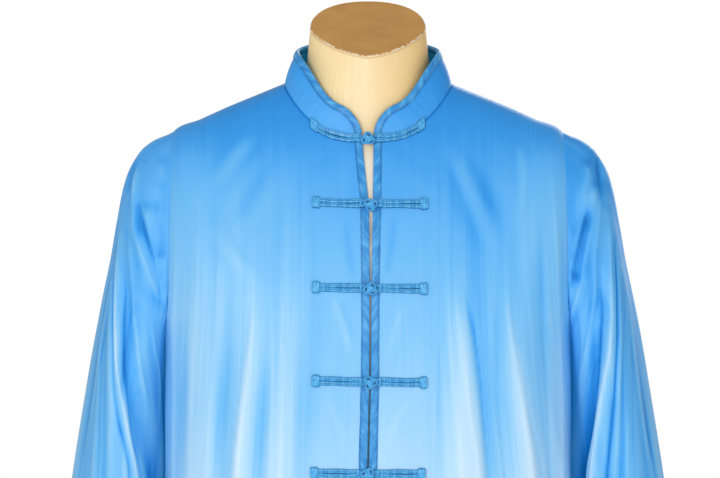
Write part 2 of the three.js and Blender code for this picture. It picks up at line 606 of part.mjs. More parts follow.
/** One strap of a frog with the tab at its outer end, on the +X side. */
function strapSections(level) {
  const isTop = level === FROG_HEIGHTS[0];
  const neckline = clothRing(0);
  const heightAt = (x) =>
    isTop ? ringPoint(neckline, turnAtX(neckline, x)).z - NECK_FROG_DROP : level;
  const overBinding = valueAt(OPENING, "z", "half", level) + BINDING_WIDTH + SEAM_GAP;
  const tabStart = FROG_REACH - TAB.length;
  const middles = shares(4).map((t) => lerp(overBinding + 3, tabStart - 0.5, t));
  const stations = [FROG_START, overBinding, ...middles, tabStart, FROG_REACH - 1.5, FROG_REACH];
  return stations.map((x, i) => {
    const isTab = i >= stations.length - 3;
    const size = isTab ? TAB : STRAP;
    const width = size.halfWidth * (i === 0 || i === stations.length - 1 ? 0.8 : 1);
    const point = frontPoint(x, heightAt(x));
    const along = frontPoint(x + 1, heightAt(x + 1)).sub(frontPoint(x - 1, heightAt(x - 1)));
    const down = frontPoint(x, heightAt(x) - 4).sub(frontPoint(x, heightAt(x) + 4)).normalize();
    const normal = down.clone().cross(along).normalize();
    const lift = SEAM_GAP + (x <= overBinding ? BINDING_GAP + BINDING_WALL : 0);
    const heights = [0, size.edge, size.crest, size.groove, size.crest, size.edge, 0];
    return STRAP_SECTION.map((across, k) =>
      point
        .clone()
        .addScaledVector(down, across * width)
        .addScaledVector(normal, lift + heights[k]),
    );
  });
}

/** The ball knot at the middle of a frog. */
function frogKnot(name, level) {
  const rest = frontPoint(1, level);
  const centre = vector(0, rest.y - SEAM_GAP - BINDING_GAP - BINDING_WALL - KNOT.halfDepth, level + NECK_Z);
  const ball = new THREE.SphereGeometry(1, 12, 8);
  ball.rotateX(Math.PI / 2);
  ball.scale(KNOT.halfWidth, KNOT.halfDepth, KNOT.halfHeight);
  ball.translate(centre.x, centre.y, centre.z);
  const mesh = new THREE.Mesh(ball, cord);
  mesh.name = name;
  return mesh;
}

function frogs() {
  return FROG_HEIGHTS.flatMap((level, i) => {
    const straps = Object.entries(SIDES).map(([name, side]) =>
      loft(`frog_${i + 1}_strap_${name}`, placed(strapSections(level), side), cord),
    );
    return [...straps, frogKnot(`frog_${i + 1}_knot`, level)];
  });
}

// ---- Display form and stand --------------------------------------------------------------------

const paint = finish(COLOURS.form, 0.55);

/** A whole ring of the form, with the same columns as the cloth over it. */
function formRing(row, edgeTurn) {
  const front = turnsBetween(row, edgeTurn, 90, FRONT_COLUMNS);
  const back = turnsBetween(row, 180, 90, BACK_COLUMNS).reverse().slice(1);
  const half = [0, ...front, ...back].map((turn) => ringPoint(row, turn));
  const mirrored = half.slice(1, -1).map((p) => vector(-p.x, p.y, p.z));
  return [...half, ...mirrored.reverse()];
}

/** The same ring made smaller and moved, as for a border or a plane's other face. */
const resized = (ring, { by = 0, move = vector(0, 0, 0) }) =>
  ring.map((p) => {
    const flat = vector(p.x, p.y, 0);
    return p.clone().addScaledVector(flat.normalize(), -by).add(move);
  });

function displayForm() {
  const [top] = NECK_RINGS;
  const tilt = Math.atan2(top.backZ - top.frontZ, top.backY - top.frontY);
  const capNormal = vector(0, -Math.sin(tilt), Math.cos(tilt));
  const capRing = formRing(top, turnAtX(top, 6));
  const capAt = (depth, by) => resized(capRing, { by, move: capNormal.clone().multiplyScalar(-depth) });
  const cap = [capAt(0, CAP.chamfer), capAt(CAP.chamfer, 0), capAt(CAP.thickness, 0)];

  const yoke = YOKE_ROWS.map((ring) => {
    const row = clothRing(ring);
    return formRing(row, frontEdgeTurn(row));
  });
  const seated = movedOut(yoke, true, (i) => -(CLOTH + REST_GAP + YOKE_EASE[i]));
  const neck = NECK_RINGS.slice(1).map((row) => formRing(row, turnAtX(row, 6)));
  const trunk = TRUNK_RINGS.map((row) => formRing(row, turnAtX(row, 3)));
  const drop = trunk.at(-1)[0].z - FORM_BOTTOM.z;
  const bottom = resized(trunk.at(-1), { by: FORM_BOTTOM.border, move: vector(0, 0, -drop) });
  const rings = [capAt(CAP.thickness + SEAM_GAP, 0), ...neck, ...seated, ...trunk, bottom];
  return [
    loft("form_torso", placed(rings, 1), paint),
    loft("form_neck_cap", placed(cap, 1), finish(COLOURS.cap, 0.6)),
  ];
}

/** A circle of points about the upright axis. */
const circle = (radius, z, count) =>
  shares(count)
    .slice(0, -1)
    .map((t) => vector(radius * Math.cos(2 * Math.PI * t), radius * Math.sin(2 * Math.PI * t), z));

function stand() {
  const floorGap = BASE.thickness + SEAM_GAP;
  const poleTop = NECK_Z + FORM_BOTTOM.z - SEAM_GAP;
  const { radius, thickness, bevel } = BASE;
  const plate = [
    circle(radius - 1, 0, 64),
    circle(radius, 1, 64),
    circle(radius, thickness - bevel, 64),
    circle(radius - bevel, thickness, 64),
  ];
  const hubOuter = [
    circle(HUB.neckRadius, floorGap + HUB.height, 32),
    circle(HUB.neckRadius + 1, floorGap + 0.4 * HUB.height, 32),
    circle(HUB.radius, floorGap, 32),
  ];
  const hubInner = hubOuter.map((row) => circle(POLE_RADIUS + SEAM_GAP, row[0].z, 32));
  const pole = [circle(POLE_RADIUS, floorGap, 32), circle(POLE_RADIUS, poleTop, 32)];
  return [
    loft("stand_base", plate, finish(COLOURS.base, 0.35)),
    wallBetween("stand_hub", hubOuter, hubInner, true, finish(COLOURS.steel, 0.3, 1)),
    loft("stand_pole", pole, finish(COLOURS.steel, 0.25, 1)),
  ];
}

// ---- The whole part ----------------------------------------------------------------------------

const group = new THREE.Group();
group.add(...jacketPanels());
group.add(...collarPieces());
group.add(...Object.entries(SIDES).map(([name, side]) => frontBinding(name, side)));
group.add(...frogs());
group.add(...displayForm());
group.add(...stand());
export default group;
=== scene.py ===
"""Dresses a tai chi jacket and its display form: satin cloth, trims, frogs, painted form and stand.

The cloth is worked out in millimetres from NECK_Z, the height where the shoulder seam meets the
collar, on the same rings and levels as its solids. Ring 0 is the neckline, ring 1 passes over the
shoulder tips, ring 2 under the arms, and ring 3 is the hem. A turn of 0 degrees is the centre front
and 180 the centre back. Each piece is moved to metres and to its height when its mesh is made.
"""
import math

import bpy
import numpy as np
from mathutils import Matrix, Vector


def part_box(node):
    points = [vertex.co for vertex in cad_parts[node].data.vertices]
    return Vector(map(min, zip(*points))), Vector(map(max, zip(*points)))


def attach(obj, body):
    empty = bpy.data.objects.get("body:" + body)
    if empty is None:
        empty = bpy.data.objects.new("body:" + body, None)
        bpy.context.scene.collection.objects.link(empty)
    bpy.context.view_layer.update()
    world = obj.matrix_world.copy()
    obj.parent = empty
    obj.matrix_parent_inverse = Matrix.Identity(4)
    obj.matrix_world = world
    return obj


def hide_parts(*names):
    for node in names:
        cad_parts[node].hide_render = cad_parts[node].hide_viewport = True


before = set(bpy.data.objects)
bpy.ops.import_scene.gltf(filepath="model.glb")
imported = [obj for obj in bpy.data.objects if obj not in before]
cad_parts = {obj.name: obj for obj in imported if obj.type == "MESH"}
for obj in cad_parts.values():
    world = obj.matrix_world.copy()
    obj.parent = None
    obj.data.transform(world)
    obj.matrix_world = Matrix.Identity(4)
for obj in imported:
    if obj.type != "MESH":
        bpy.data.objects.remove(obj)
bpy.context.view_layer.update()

# ---- Driving dimensions, in millimetres and degrees --------------------------------------------

NECK_Z = 835
SATIN_WALL = 0.9
PINCHED = 6  # creases up to this half width have an edge
ARM_FRONT_TURN = 25
ARM_BACK_TURN = 27
HEM_DEPTH = 715  # how far the hem hangs below NECK_Z
CUFF_Z = -600
CUFF_TILT = 6
SLEEVE_SETTLES = 30
INNER_OVERLAP = 1.5  # how far a sleeve's inner edge reaches behind the body's side
INNER_TUCK = 9  # the most that this moves it in
INNER_BACK = 38  # and how far it then lies back
INNER_SQUARE = 0.8  # below 1, how much flatter a sleeve's front is beside the body
FLOW_PER_TURN = 1.3
HEM_TURNING = 20
SIDE_TUCK = 0.5  # how deep a side seam pulls in the cloth beside it
SEAM_PULL = 2.6  # how far from a seam the cloth is pulled
NAPE_EASE = 2.4  # how far the back stands off below the collar
FACING_WIDTH = 69  # the facing's inner edge shows through this far from the centre front

CAP_TOP = (58.7, 0.464)  # the neck's slanted top: its height over the middle, and its rise going back
COLLAR_WALL = 1.8
COLLAR_HEIGHT = (28, 36, 34)  # front, side, back
COLLAR_HEIGHT_RISE = 4
COLLAR_LEAN = (4, 20, 9)
COLLAR_LEAN_RISE = 2
COLLAR_BOW = 1.6
COLLAR_CORNER = 33
COLLAR_END = 3
COLLAR_DROP = 48  # its dye is that of the jacket this far below it
COLLAR_SIDE_SHADE = 0.0004  # and this much deeper for each mm to the +X side, painted shade away from the key light
COLLAR_DRAPE = 0.22  # how strong the painted sheen streaks of its satin are, 1 being those of loose folds

BINDING_WIDTH = 8.5
COLLAR_BINDING_WIDTH = 7.4
BINDING_SKIN = 1.5  # how far a binding's fold stands beyond the edge that it covers
BINDING_CREST = 1.05  # and how far its face stands out
BINDING_WALL = 0.49
BINDING_BACK = 5  # how far the collar's binding reaches down inside it
PUCKER_LENGTH = 9.5

FROG_HEIGHTS = [-50, -110, -192, -285, -377, -469, -561]
FROG_START = 5.2
FROG_REACH = 57.5
NECK_FROG_DROP = 2
NECK_KNOT_RISE = 3
CORD_HALF = 2.35  # half width of one of a strap's two cords
CORD_CREST = 2.2
TAB_LENGTH = 8.0
TAB_HALF = 6.3
TAB_CREST = 3.0
BAND_PLACE = 4.4  # how far from its start a strap's two cords are bound together
BAND_LENGTH = 3.0
BAND_HALF = 4.6
BAND_CREST = 2.9
KNOT_SIZE = (6.5, 4.6, 6.1)
KNOT_CORD = 1.95  # its radius
KNOT_CORE = 0.74  # a share of the knot's size

# ---- Tables ------------------------------------------------------------------------------------

# ring, side x, side z, front y, front z, back y, back z, squareness
CLOTH_RINGS = np.array([
    (0.0, 84, 0, -60, -46, 58, 7, 2.0),
    (0.25, 112, -11, -70, -66, 72, -7, 2.1),
    (0.5, 140, -22, -81, -88, 86, -26, 2.15),
    (0.75, 168, -34.5, -92, -112, 98, -55, 2.2),
    (1.0, 196, -48, -101, -138, 107, -90, 2.35),
    (1.25, 210, -90, -109, -170, 112, -132, 2.7),
    (1.5, 214, -151, -115, -203, 115, -175, 2.9),
    (1.75, 211, -207, -118, -237, 117, -218, 2.9),
    (2.0, 205, -258, -119, -272, 118, -264, 2.8),
    (2.25, 204, -365, -120, -372, 119, -368, 2.7),
    (2.5, 204, -480, -120, -484, 119, -482, 2.6),
    (2.75, 206, -597, -121, -599, 120, -598, 2.5),
    (3.0, 209, -715, -122, -715, 121, -715, 2.5),
])

# height, outer x, inner x, half depth, middle y
SLEEVE_LEVELS = np.array([
    (-606, 326, 225, 54, 0),
    (-500, 312, 218, 64, 3),
    (-393, 298, 211, 75, 4),
    (-305, 284, 207.5, 80, 4),
    (-258, 276, 206.5, 78, 3),
    (-217, 268, 205, 74, 3),
    (-175, 259, 202, 69, 2),
    (-140, 253, 198, 65, 1),
    (-93, 243, 190, 60, 0),
    (-67, 229, 182, 56, 0),
    (-55, 214, 176, 54, 0),
    (-48, 196, 168, 52, 0),
])

# How far the centre front hangs to the +X side, at depths below NECK_Z.
CENTRE_SWAY = np.array([(30, 60, 112, 195, 288, 380, 470, 715), (-0.5, 0.3, 2.8, 2.4, 2.0, -0.3, 0.0, 0.0)])

# height, half of the opening between the fronts
OPENING = np.array([(-715, 1.4), (-300, 0.8), (-192, 0.9), (-112, 2.1), (-62, 5.0), (-40, 5.6)])

# Creases. Each follows a path of places and heights, going down, and stands out by its rise, or in
# where that is below 0. before and after are its half widths on either side of the path, spread is
# how many times wider it is at its foot, and fades are the shares of its height over which it comes
# and goes. Narrow ones are pinched to an edge.
def crease(rise, before, after, *path, fades=(0.3, 0.0), spread=1.0):
    widths = (before, after, spread)
    return {"rise": rise, "widths": widths, "path": np.array(path)[::-1, ::-1], "fades": fades}


# A place on a front or the back is a distance from the middle. Counted towards the side on a front.
FRONT_CREASES = {
    "left": [
        crease(3.4, 12, 14, (82, -165), (88, -381), (92, -720)),
        crease(-0.8, 9, 10, (102, -190), (106, -381), (110, -720)),
        crease(4.0, 12, 15, (112, -150), (113, -234), (122, -314), (129, -381), (138, -720)),
        crease(-1.6, 8, 9, (140, -200), (144, -381), (152, -720)),
        crease(3.4, 13, 15, (160, -120), (167, -381), (176, -720)),
        crease(1.6, 2.5, 3, (110, -180), (114, -220), (120, -285), (130, -383), (142, -720), fades=(0.15, 0)),
        crease(-1.5, 3.5, 5, (116, -196), (122, -240), (129, -300), (138, -383), (151, -720), fades=(0.15, 0)),
        crease(0.9, 2, 2.5, (96, -196), (97, -381), (100, -720), fades=(0.12, 0)),
        crease(-0.8, 2, 2, (91, -205), (92, -381), (95, -720), fades=(0.15, 0)),
        crease(0.9, 2, 2, (86, -190), (87, -381), (90, -720), fades=(0.12, 0)),
        crease(-0.8, 2, 2, (81, -220), (82, -381), (85, -720), fades=(0.15, 0)),
        crease(0.7, 1.8, 2, (77, -210), (77.5, -381), (80, -720), fades=(0.15, 0)),
        crease(-0.7, 3, 3, (103, -230), (107, -381), (112, -720), fades=(0.2, 0)),
        crease(1.0, 8, 9, (163, -124), (142, -153), (115, -190), fades=(0.35, 0.35)),
        crease(0.8, 7, 8, (114, -42), (135, -72), (158, -102), fades=(0.35, 0.35)),
        crease(-0.7, 8, 8, (94, -62), (118, -104), (138, -140), fades=(0.4, 0.4)),
        crease(1.2, 3, 4, (192, -120), (194, -250), (196, -420), (196, -720), fades=(0.2, 0.2)),
        crease(-0.7, 5, 4, (182, -150), (184, -300), (186, -450), (190, -720)),
        crease(0.7, 3, 4, (156, -200), (158, -330), (163, -470), (168, -720)),
        crease(0.6, 2.5, 3, (174, -170), (176, -330), (178, -470), (182, -720)),
        crease(-0.9, 5, 5, (26, -112), (22, -150), (16, -184), fades=(0.5, 0.2)),
        crease(0.9, 4, 5, (38, -196), (26, -230), (18, -268), fades=(0.2, 0.4)),
        crease(-0.7, 4, 5, (30, -200), (22, -226), (15, -250), fades=(0.3, 0.4)),
        crease(0.6, 5, 4, (44, -300), (30, -330), (22, -366), fades=(0.2, 0.4)),
    ],
    "right": [
        crease(3.6, 13, 16, (84, -160), (96, -381), (108, -720)),
        crease(-1.8, 9, 11, (104, -170), (112, -253), (126, -381), (142, -720)),
        crease(-1.3, 18, 20, (92, -62), (104, -120), (110, -190), (116, -270), fades=(0.4, 0.5)),
        crease(4.0, 12, 14, (128, -140), (146, -283), (158, -381), (178, -720)),
        crease(-2.2, 3, 3.5, (90, -180), (96, -200), (107, -254), (121, -383), (142, -720), fades=(0.1, 0)),
        crease(1.5, 3, 3, (84, -188), (90, -230), (98, -300), (110, -383), (128, -720), fades=(0.1, 0)),
        crease(0.9, 2, 2.5, (80, -200), (84, -290), (94, -383), (110, -720), fades=(0.15, 0)),
        crease(-0.8, 2, 2, (77, -220), (80, -290), (87, -383), (100, -720), fades=(0.15, 0)),
        crease(0.8, 2, 2, (75, -230), (76, -290), (80, -383), (90, -720), fades=(0.15, 0)),
        crease(1.4, 3, 4, (136, -180), (140, -230), (147, -283), (162, -383), (184, -720), fades=(0.12, 0)),
        crease(-1.2, 2, 3, (126, -196), (127, -260), (130, -320), (140, -420), (160, -720), fades=(0.1, 0)),
        crease(0.8, 2.5, 3, (118, -240), (122, -300), (134, -383), (150, -720), fades=(0.15, 0)),
        crease(-0.8, 3, 3, (154, -250), (160, -320), (172, -383), (186, -720), fades=(0.2, 0)),
        crease(1.0, 7, 8, (77, -46), (102, -100), (132, -176), fades=(0.35, 0.5)),
        crease(-0.6, 10, 12, (96, -60), (124, -120), (146, -190), fades=(0.35, 0.6)),
        crease(1.0, 5, 6, (148, -50), (154, -80), (150, -140), fades=(0.3, 0.5)),
        crease(1.4, 4, 5, (182, -66), (186, -120), (189, -200), (194, -330), (196, -720), fades=(0.12, 0.2)),
        crease(-1.0, 4, 4, (172, -90), (176, -250), (184, -400), (190, -720), fades=(0.2, 0)),
        crease(-0.9, 5, 5, (24, -112), (21, -150), (15, -184), fades=(0.5, 0.2)),
        crease(0.8, 4, 5, (40, -300), (26, -326), (18, -362), fades=(0.2, 0.4)),
        crease(0.7, 5, 4, (36, -206), (25, -232), (18, -268), fades=(0.2, 0.4)),
    ],
}
BACK_CREASES = [
    crease(3.4, 24, 28, (4, -190), (-3, -381), (8, -720)),
    crease(4.0, 22, 30, (-84, -170), (-98, -381), (-112, -720)),
    crease(3.6, 26, 22, (96, -210), (92, -381), (104, -720)),
    crease(-3.2, 15, 18, (-136, -180), (-148, -381), (-156, -720)),
    crease(-3.0, 18, 14, (140, -170), (150, -381), (150, -720)),
    crease(-1.6, 12, 14, (-40, -240), (-44, -400), (-52, -720)),
    crease(-1.8, 12, 10, (48, -200), (52, -400), (48, -720)),
    crease(1.3, 3, 5, (-80, -190), (-90, -300), (-104, -420), (-118, -720), fades=(0.2, 0)),
    crease(-1.2, 3, 4, (-66, -230), (-76, -400), (-86, -720)),
    crease(1.1, 4, 3, (92, -190), (98, -300), (108, -420), (120, -720), fades=(0.2, 0)),
    crease(-1.1, 3, 4, (72, -260), (74, -400), (84, -720)),
    crease(0.9, 3, 3, (14, -210), (20, -400), (16, -720)),
    crease(-0.9, 3, 4, (-20, -250), (-26, -430), (-34, -720)),
    crease(1.1, 4, 5, (-168, -150), (-176, -400), (-184, -720)),
    crease(1.0, 4, 5, (170, -160), (178, -400), (186, -720)),
    crease(-0.9, 3, 3, (-122, -220), (-130, -400), (-138, -720)),
    crease(-0.9, 3, 3, (126, -250), (130, -400), (136, -720)),
    crease(1.2, 22, 26, (-30, -50), (-84, -100), (-150, -170), fades=(0.45, 0.45)),
    crease(1.0, 24, 24, (40, -46), (90, -104), (150, -180), fades=(0.45, 0.45)),
    crease(-1.0, 20, 24, (-156, -90), (-128, -140), (-96, -220), fades=(0.45, 0.45)),
    crease(-0.9, 22, 22, (158, -96), (134, -150), (104, -230), fades=(0.45, 0.45)),
]

# How many times wider, less 1, the folds of each panel have fanned out at the hem.
FAN = {"left": 0.16, "right": 0.34, "back": 0.14}

# The first seed of each piece's ripples, and where it starts in the painted sheen streaks of the satin, in mm,
# so that no two pieces have the same ones.
RIPPLE_SEEDS = {
    "front_left": 5, "front_right": 3, "back": 11, "sleeve_left": 29, "sleeve_right": 23, "collar": 41,
}
SHEEN_STREAK_STARTS = {
    "front_left": 900, "front_right": 0, "back": 2000,
    "sleeve_left": 3000, "sleeve_right": 5000, "collar": 7000,
}

# A place on a sleeve is a turn: 0 its outer edge, 90 its front, 180 its inner edge, 270 its back.
SLEEVE_CREASES = {
    "left": [
        crease(4, 14, 11, (30, -150), (64, -240), (86, -330), (102, -420), (116, -606)),
        crease(-5, 8, 16, (122, -320), (143, -380), (155, -440), (164, -606), fades=(0.35, 0)),
        crease(-2.4, 12, 14, (10, -180), (30, -330), (50, -470), (66, -606)),
        crease(7, 22, 22, (306, -120), (280, -300), (240, -560)),
        crease(-6, 18, 18, (276, -170), (246, -330), (216, -500)),
        crease(2.6, 4, 5, (16, -74), (26, -93), (40, -116), (53, -138), (66, -155), (81, -174),
               (96, -194), (110, -209), (123, -222), fades=(0.12, 0.2), spread=1.5),
        crease(-5, 5, 7, (31, -92), (46, -116), (60, -135), (76, -156), (88, -174), (99, -191),
               (114, -212), (130, -229), fades=(0.35, 0.22), spread=1.6),
        crease(2.4, 4, 5, (51, -115), (70, -145), (87, -171), (102, -194), (119, -215),
               fades=(0.12, 0.1), spread=1.3),
        crease(-1.6, 5, 6, (50, -101), (68, -130), (80, -149), (93, -171), fades=(0.25, 0.1), spread=1.2),
        crease(2.6, 3.5, 4.5, (20, -129), (36, -162), (54, -200), (69, -239), (80, -279), (90, -309),
               (100, -349), (112, -389), (130, -606), fades=(0.12, 0)),
        crease(-2, 2.5, 3, (0, -156), (40, -192), (66, -249), (78, -299), (88, -329), (104, -388),
               (122, -606), fades=(0.12, 0)),
        crease(-5.5, 8, 11, (30, -117), (48, -151), (70, -199), (84, -239), (94, -279), (106, -309),
               (120, -351), (137, -392), (155, -606), fades=(0.25, 0), spread=1.5),
        crease(-1.6, 3, 4, (31, -132), (51, -171), (68, -209), (80, -249), (90, -284), (98, -319),
               (107, -350), (122, -390), (140, -606), fades=(0.15, 0)),
        crease(2, 4, 4, (46, -141), (72, -189), (87, -219), (98, -249), (109, -279), (122, -311),
               (132, -343), fades=(0.15, 0.3)),
        crease(1.2, 3, 4, (101, -214), (124, -255), (142, -288), (146, -324), (143, -359), fades=(0.25, 0.3)),
        crease(1, 4, 5, (10, -205), (36, -257), (50, -311), (56, -361), (74, -606), fades=(0.2, 0)),
        crease(0.8, 3, 3, (45, -241), (54, -280), (61, -320), (68, -360), (86, -606), fades=(0.2, 0)),
        crease(1, 4, 4, (31, -72), (42, -83), (54, -96), fades=(0.4, 0.3)),
        crease(-0.9, 4, 4, (350, -160), (364, -300), (374, -606)),
        crease(1.2, 6, 7, (330, -150), (322, -320), (300, -606)),
        crease(-1.2, 5, 6, (312, -200), (294, -360), (268, -606)),
        crease(1.2, 5, 6, (262, -200), (236, -340), (212, -480), (204, -606)),
    ],
    "right": [
        crease(4, 14, 13, (50, -150), (84, -240), (103, -320), (120, -400), (134, -606)),
        crease(-7, 10, 17, (122, -290), (137, -351), (151, -420), (164, -606), fades=(0.25, 0)),
        crease(-2.4, 12, 14, (14, -160), (36, -330), (56, -470), (70, -606)),
        crease(7, 22, 22, (300, -120), (276, -300), (246, -560)),
        crease(-6, 18, 18, (268, -170), (240, -330), (212, -500)),
        crease(2, 3, 3.5, (24, -73), (47, -101), (62, -125), (78, -149), (92, -171), (103, -187),
               fades=(0.1, 0.08), spread=1.3),
        crease(-5, 5, 6, (48, -106), (62, -128), (73, -144), (82, -159), (96, -181), (113, -205),
               fades=(0.3, 0.2), spread=1.5),
        crease(2.4, 4, 4, (36, -94), (56, -125), (70, -148), (86, -174), (98, -194), (115, -215),
               (145, -240), fades=(0.1, 0.1), spread=1.2),
        crease(-2.4, 6, 6, (0, -62), (19, -81), (32, -100), (43, -116), fades=(0.35, 0.4)),
        crease(1.6, 3, 3, (38, -107), (55, -135), (72, -164), (88, -199), (100, -224), (117, -254),
               (135, -292), fades=(0.15, 0.2)),
        crease(-6.2, 8, 11, (29, -102), (57, -150), (77, -189), (93, -229), (104, -259), (120, -311),
               (134, -353), (151, -394), (166, -606), fades=(0.25, 0), spread=1.4),
        crease(-1.6, 3, 4, (52, -141), (76, -189), (91, -229), (100, -259), (114, -310), (126, -352),
               (135, -392), (153, -606), fades=(0.2, 0)),
        crease(2.3, 4.5, 4.5, (32, -117), (48, -151), (66, -190), (83, -239), (94, -279), (102, -309),
               (112, -350), (120, -390), (138, -606), fades=(0.12, 0)),
        crease(-2.2, 2.5, 3, (35, -142), (50, -181), (66, -219), (78, -259), (88, -299), (95, -339),
               (104, -388), (122, -606), fades=(0.12, 0)),
        crease(1.3, 2.5, 3, (51, -191), (63, -230), (72, -259), (83, -309), (90, -349), (96, -388),
               (114, -606), fades=(0.15, 0)),
        crease(1.1, 5, 5, (30, -173), (38, -222), (44, -271), (46, -311), (44, -352), (39, -391),
               (57, -606), fades=(0.2, 0)),
        crease(0.9, 3, 3, (65, -299), (76, -349), (83, -388), (101, -606), fades=(0.2, 0)),
        crease(-0.9, 4, 4, (352, -150), (364, -300), (370, -606)),
        crease(1.2, 6, 7, (332, -160), (320, -320), (298, -606)),
        crease(-1.2, 5, 6, (308, -190), (290, -360), (266, -606)),
        crease(1.2, 5, 6, (256, -190), (232, -340), (210, -480), (202, -606)),
    ],
}

# ---- Numbers -----------------------------------------------------------------------------------

RING_DIP = 3  # how late a ring's height changes between its middles and its sides
ARC_STEPS = 96  # how finely a ring's length is measured


def lerp(a, b, t):
    return a + (b - a) * t


def smooth(t):
    t = np.clip(t, 0.0, 1.0)
    return t * t * (3 - 2 * t)


def curve_at(table, place):
    """Every other column of a table at places along its first one, as smooth curves through its rows."""
    keys, values = table[:, 0], table[:, 1:]
    place = np.asarray(place, float)
    i = np.searchsorted(keys[1:-1], place, side="left")
    count = np.arange(len(keys))
    before, after = np.maximum(count - 1, 0), np.minimum(count + 1, len(keys) - 1)
    slopes = (values[after] - values[before]) / (keys[after] - keys[before])[:, None]
    span = (keys[i + 1] - keys[i])[..., None]
    t = np.clip((place - keys[i])[..., None] / span, 0, 1)
    rise = values[i + 1] - values[i]
    bend = t * (1 - t) * ((1 - t) * slopes[i] - t * slopes[i + 1])
    return values[i] + rise * t + (2 * t - 1) * t * (1 - t) * rise + span * bend


def around(count):
    """Angles in radians that share out a whole round."""
    return np.linspace(0, 2 * math.pi, count, endpoint=False)


def bump(distance):
    """A soft bump that is 1 at 0 and falls to 0 at two half widths."""
    return np.cos(np.clip(distance, -2, 2) * math.pi / 4) ** 2


def pinch(distance):
    """The same with an edge at its top."""
    return np.clip(1 - np.abs(distance) / 2, 0, 1) ** 2.2


def crease_heights(creases, place, z):
    """How far a list of creases moves the cloth out, at places and heights."""
    total = np.zeros(np.broadcast(place, z).shape)
    for one in creases:
        path = one["path"]
        share = (path[-1, 0] - z) / (path[-1, 0] - path[0, 0])
        distance = place - curve_at(path, z)[..., 0]
        before, after, spread = one["widths"]
        width = np.where(distance < 0, before, after) * lerp(1, spread, np.clip(share, 0, 1))
        profile = pinch if min(before, after) <= PINCHED else bump
        start, end = one["fades"]
        fade = smooth(share / start)
        if end:
            fade = fade * smooth((1 - share) / end)
        total += one["rise"] * fade * profile(distance / width)
    return total


def ripples(across, down, seed, size):
    """Soft uneven ripples between -1 and 1, size being their length across and down."""
    chart = np.random.RandomState(seed).uniform(-1, 1, (64, 64))
    u, v = across / size[0], down / size[1]
    i, j = np.floor(u).astype(int), np.floor(v).astype(int)
    s, t = smooth(u - i), smooth(v - j)
    near = lerp(chart[i % 64, j % 64], chart[(i + 1) % 64, j % 64], s)
    far = lerp(chart[i % 64, (j + 1) % 64], chart[(i + 1) % 64, (j + 1) % 64], s)
    return lerp(near, far, t)


# ---- The jacket's surfaces ---------------------------------------------------------------------


def ring_point(row, turn):
    """Points of rings on the +X side."""
    side_x, side_z, front_y, front_z, back_y, back_z, square = np.moveaxis(row, -1, 0)
    across = np.clip(np.sin(np.radians(turn)), 0, 1)
    along = np.abs(np.cos(np.radians(turn)))
    is_front = turn < 90
    power = 2 / square
    y = np.where(is_front, front_y, back_y) * along**power
    z = lerp(np.where(is_front, front_z, back_z), side_z, across**RING_DIP)
    return np.stack(np.broadcast_arrays(side_x * across**power, y, z), -1)


def turn_at_x(row, x):
    return np.degrees(np.arcsin(np.clip(x / row[..., 0], 0, 1) ** (row[..., 6] / 2)))


def steps_along(points, axis=0):
    """Distances along lines of points, from 0 at their start."""
    step = np.linalg.norm(np.diff(points, axis=axis), axis=-1)
    return np.concatenate([np.zeros_like(np.take(step, [0], axis)), np.cumsum(step, axis)], axis)


def turns_between(row, start, end, shares):
    """Turns that share out the length of a ring between two turns."""
    turns = np.linspace(start, end, ARC_STEPS + 1)
    lengths = steps_along(ring_point(row, turns))
    return np.interp(np.asarray(shares) * lengths[-1], lengths, turns)


def panel_turns(row, middle, side, armhole, shares):
    whole = turns_between(row, middle, side, shares)
    cut = turns_between(row, middle, armhole, shares)
    return lerp(whole, cut, smooth((shares - 0.3) / 0.7))


def panel_cut(ring):
    """How far a panel is cut back for the armhole, with an allowance left inside it at its top and its foot."""
    if not 1 < ring < 2:
        return 0.0
    return 2 * math.sqrt((ring - 1) * (2 - ring)) * smooth(min(ring - 1, 2 - ring) / 0.22)


def front_edge_turn(row):
    half = curve_at(OPENING, row[..., 3])[..., 0]
    return turn_at_x(row, half + BINDING_SKIN)


def unit(vectors):
    return vectors / np.maximum(np.linalg.norm(vectors, axis=-1, keepdims=True), 1e-9)


def normals_of(grid, is_round=False, facing=None):
    """Unit normals of a grid of points that face out of its middle, or along facing where it is given."""
    across = np.roll(grid, -1, 1) - np.roll(grid, 1, 1) if is_round else np.gradient(grid, axis=1)
    normals = unit(np.cross(np.gradient(grid, axis=0), across))
    away = grid - grid.mean((0, 1)) if facing is None else np.array(facing, float)
    return normals * np.sign((normals * away).sum())


def body_rings(yoke, armhole, skirt):
    """Rings down a panel, close together where the armhole turns under the shoulder and the arm."""
    round_arm = 1 + (1 - np.cos(np.linspace(0, math.pi, armhole + 1))) / 2
    return np.concatenate([np.linspace(0, 1, yoke + 1), round_arm[3:-3], np.linspace(2, 3, skirt + 1)])


def seam_tuck(distance, depth):
    """How a seam pulls in the cloth beside it."""
    return -depth * np.exp(-((distance / SEAM_PULL) ** 2))


def armhole_depth(z):
    """A sleeve's seam stands proud over the shoulder and pulls in towards the underarm."""
    return lerp(-0.8, 0.2, smooth((-z - 90) / 120))


def hem_relief(above):
    """The doubled cloth below a hem's stitch line, and the furrow along that line, above being in mm."""
    return np.where(above < 0, 0.25, 0) - 0.45 * np.exp(-((above / 1.3) ** 2))


def gathers(along, away, short, wide, reach):
    """Small uneven gathers along a seam, which die away from it."""
    return np.sin(along / short + 2 * np.sin(along / wide)) * np.exp(-away / reach)


PANEL_RINGS = body_rings(40, 66, 140)
FRONT_SHARES = lerp(np.linspace(0, 1, 121), np.sin(np.linspace(0, math.pi / 2, 121)), 0.5)


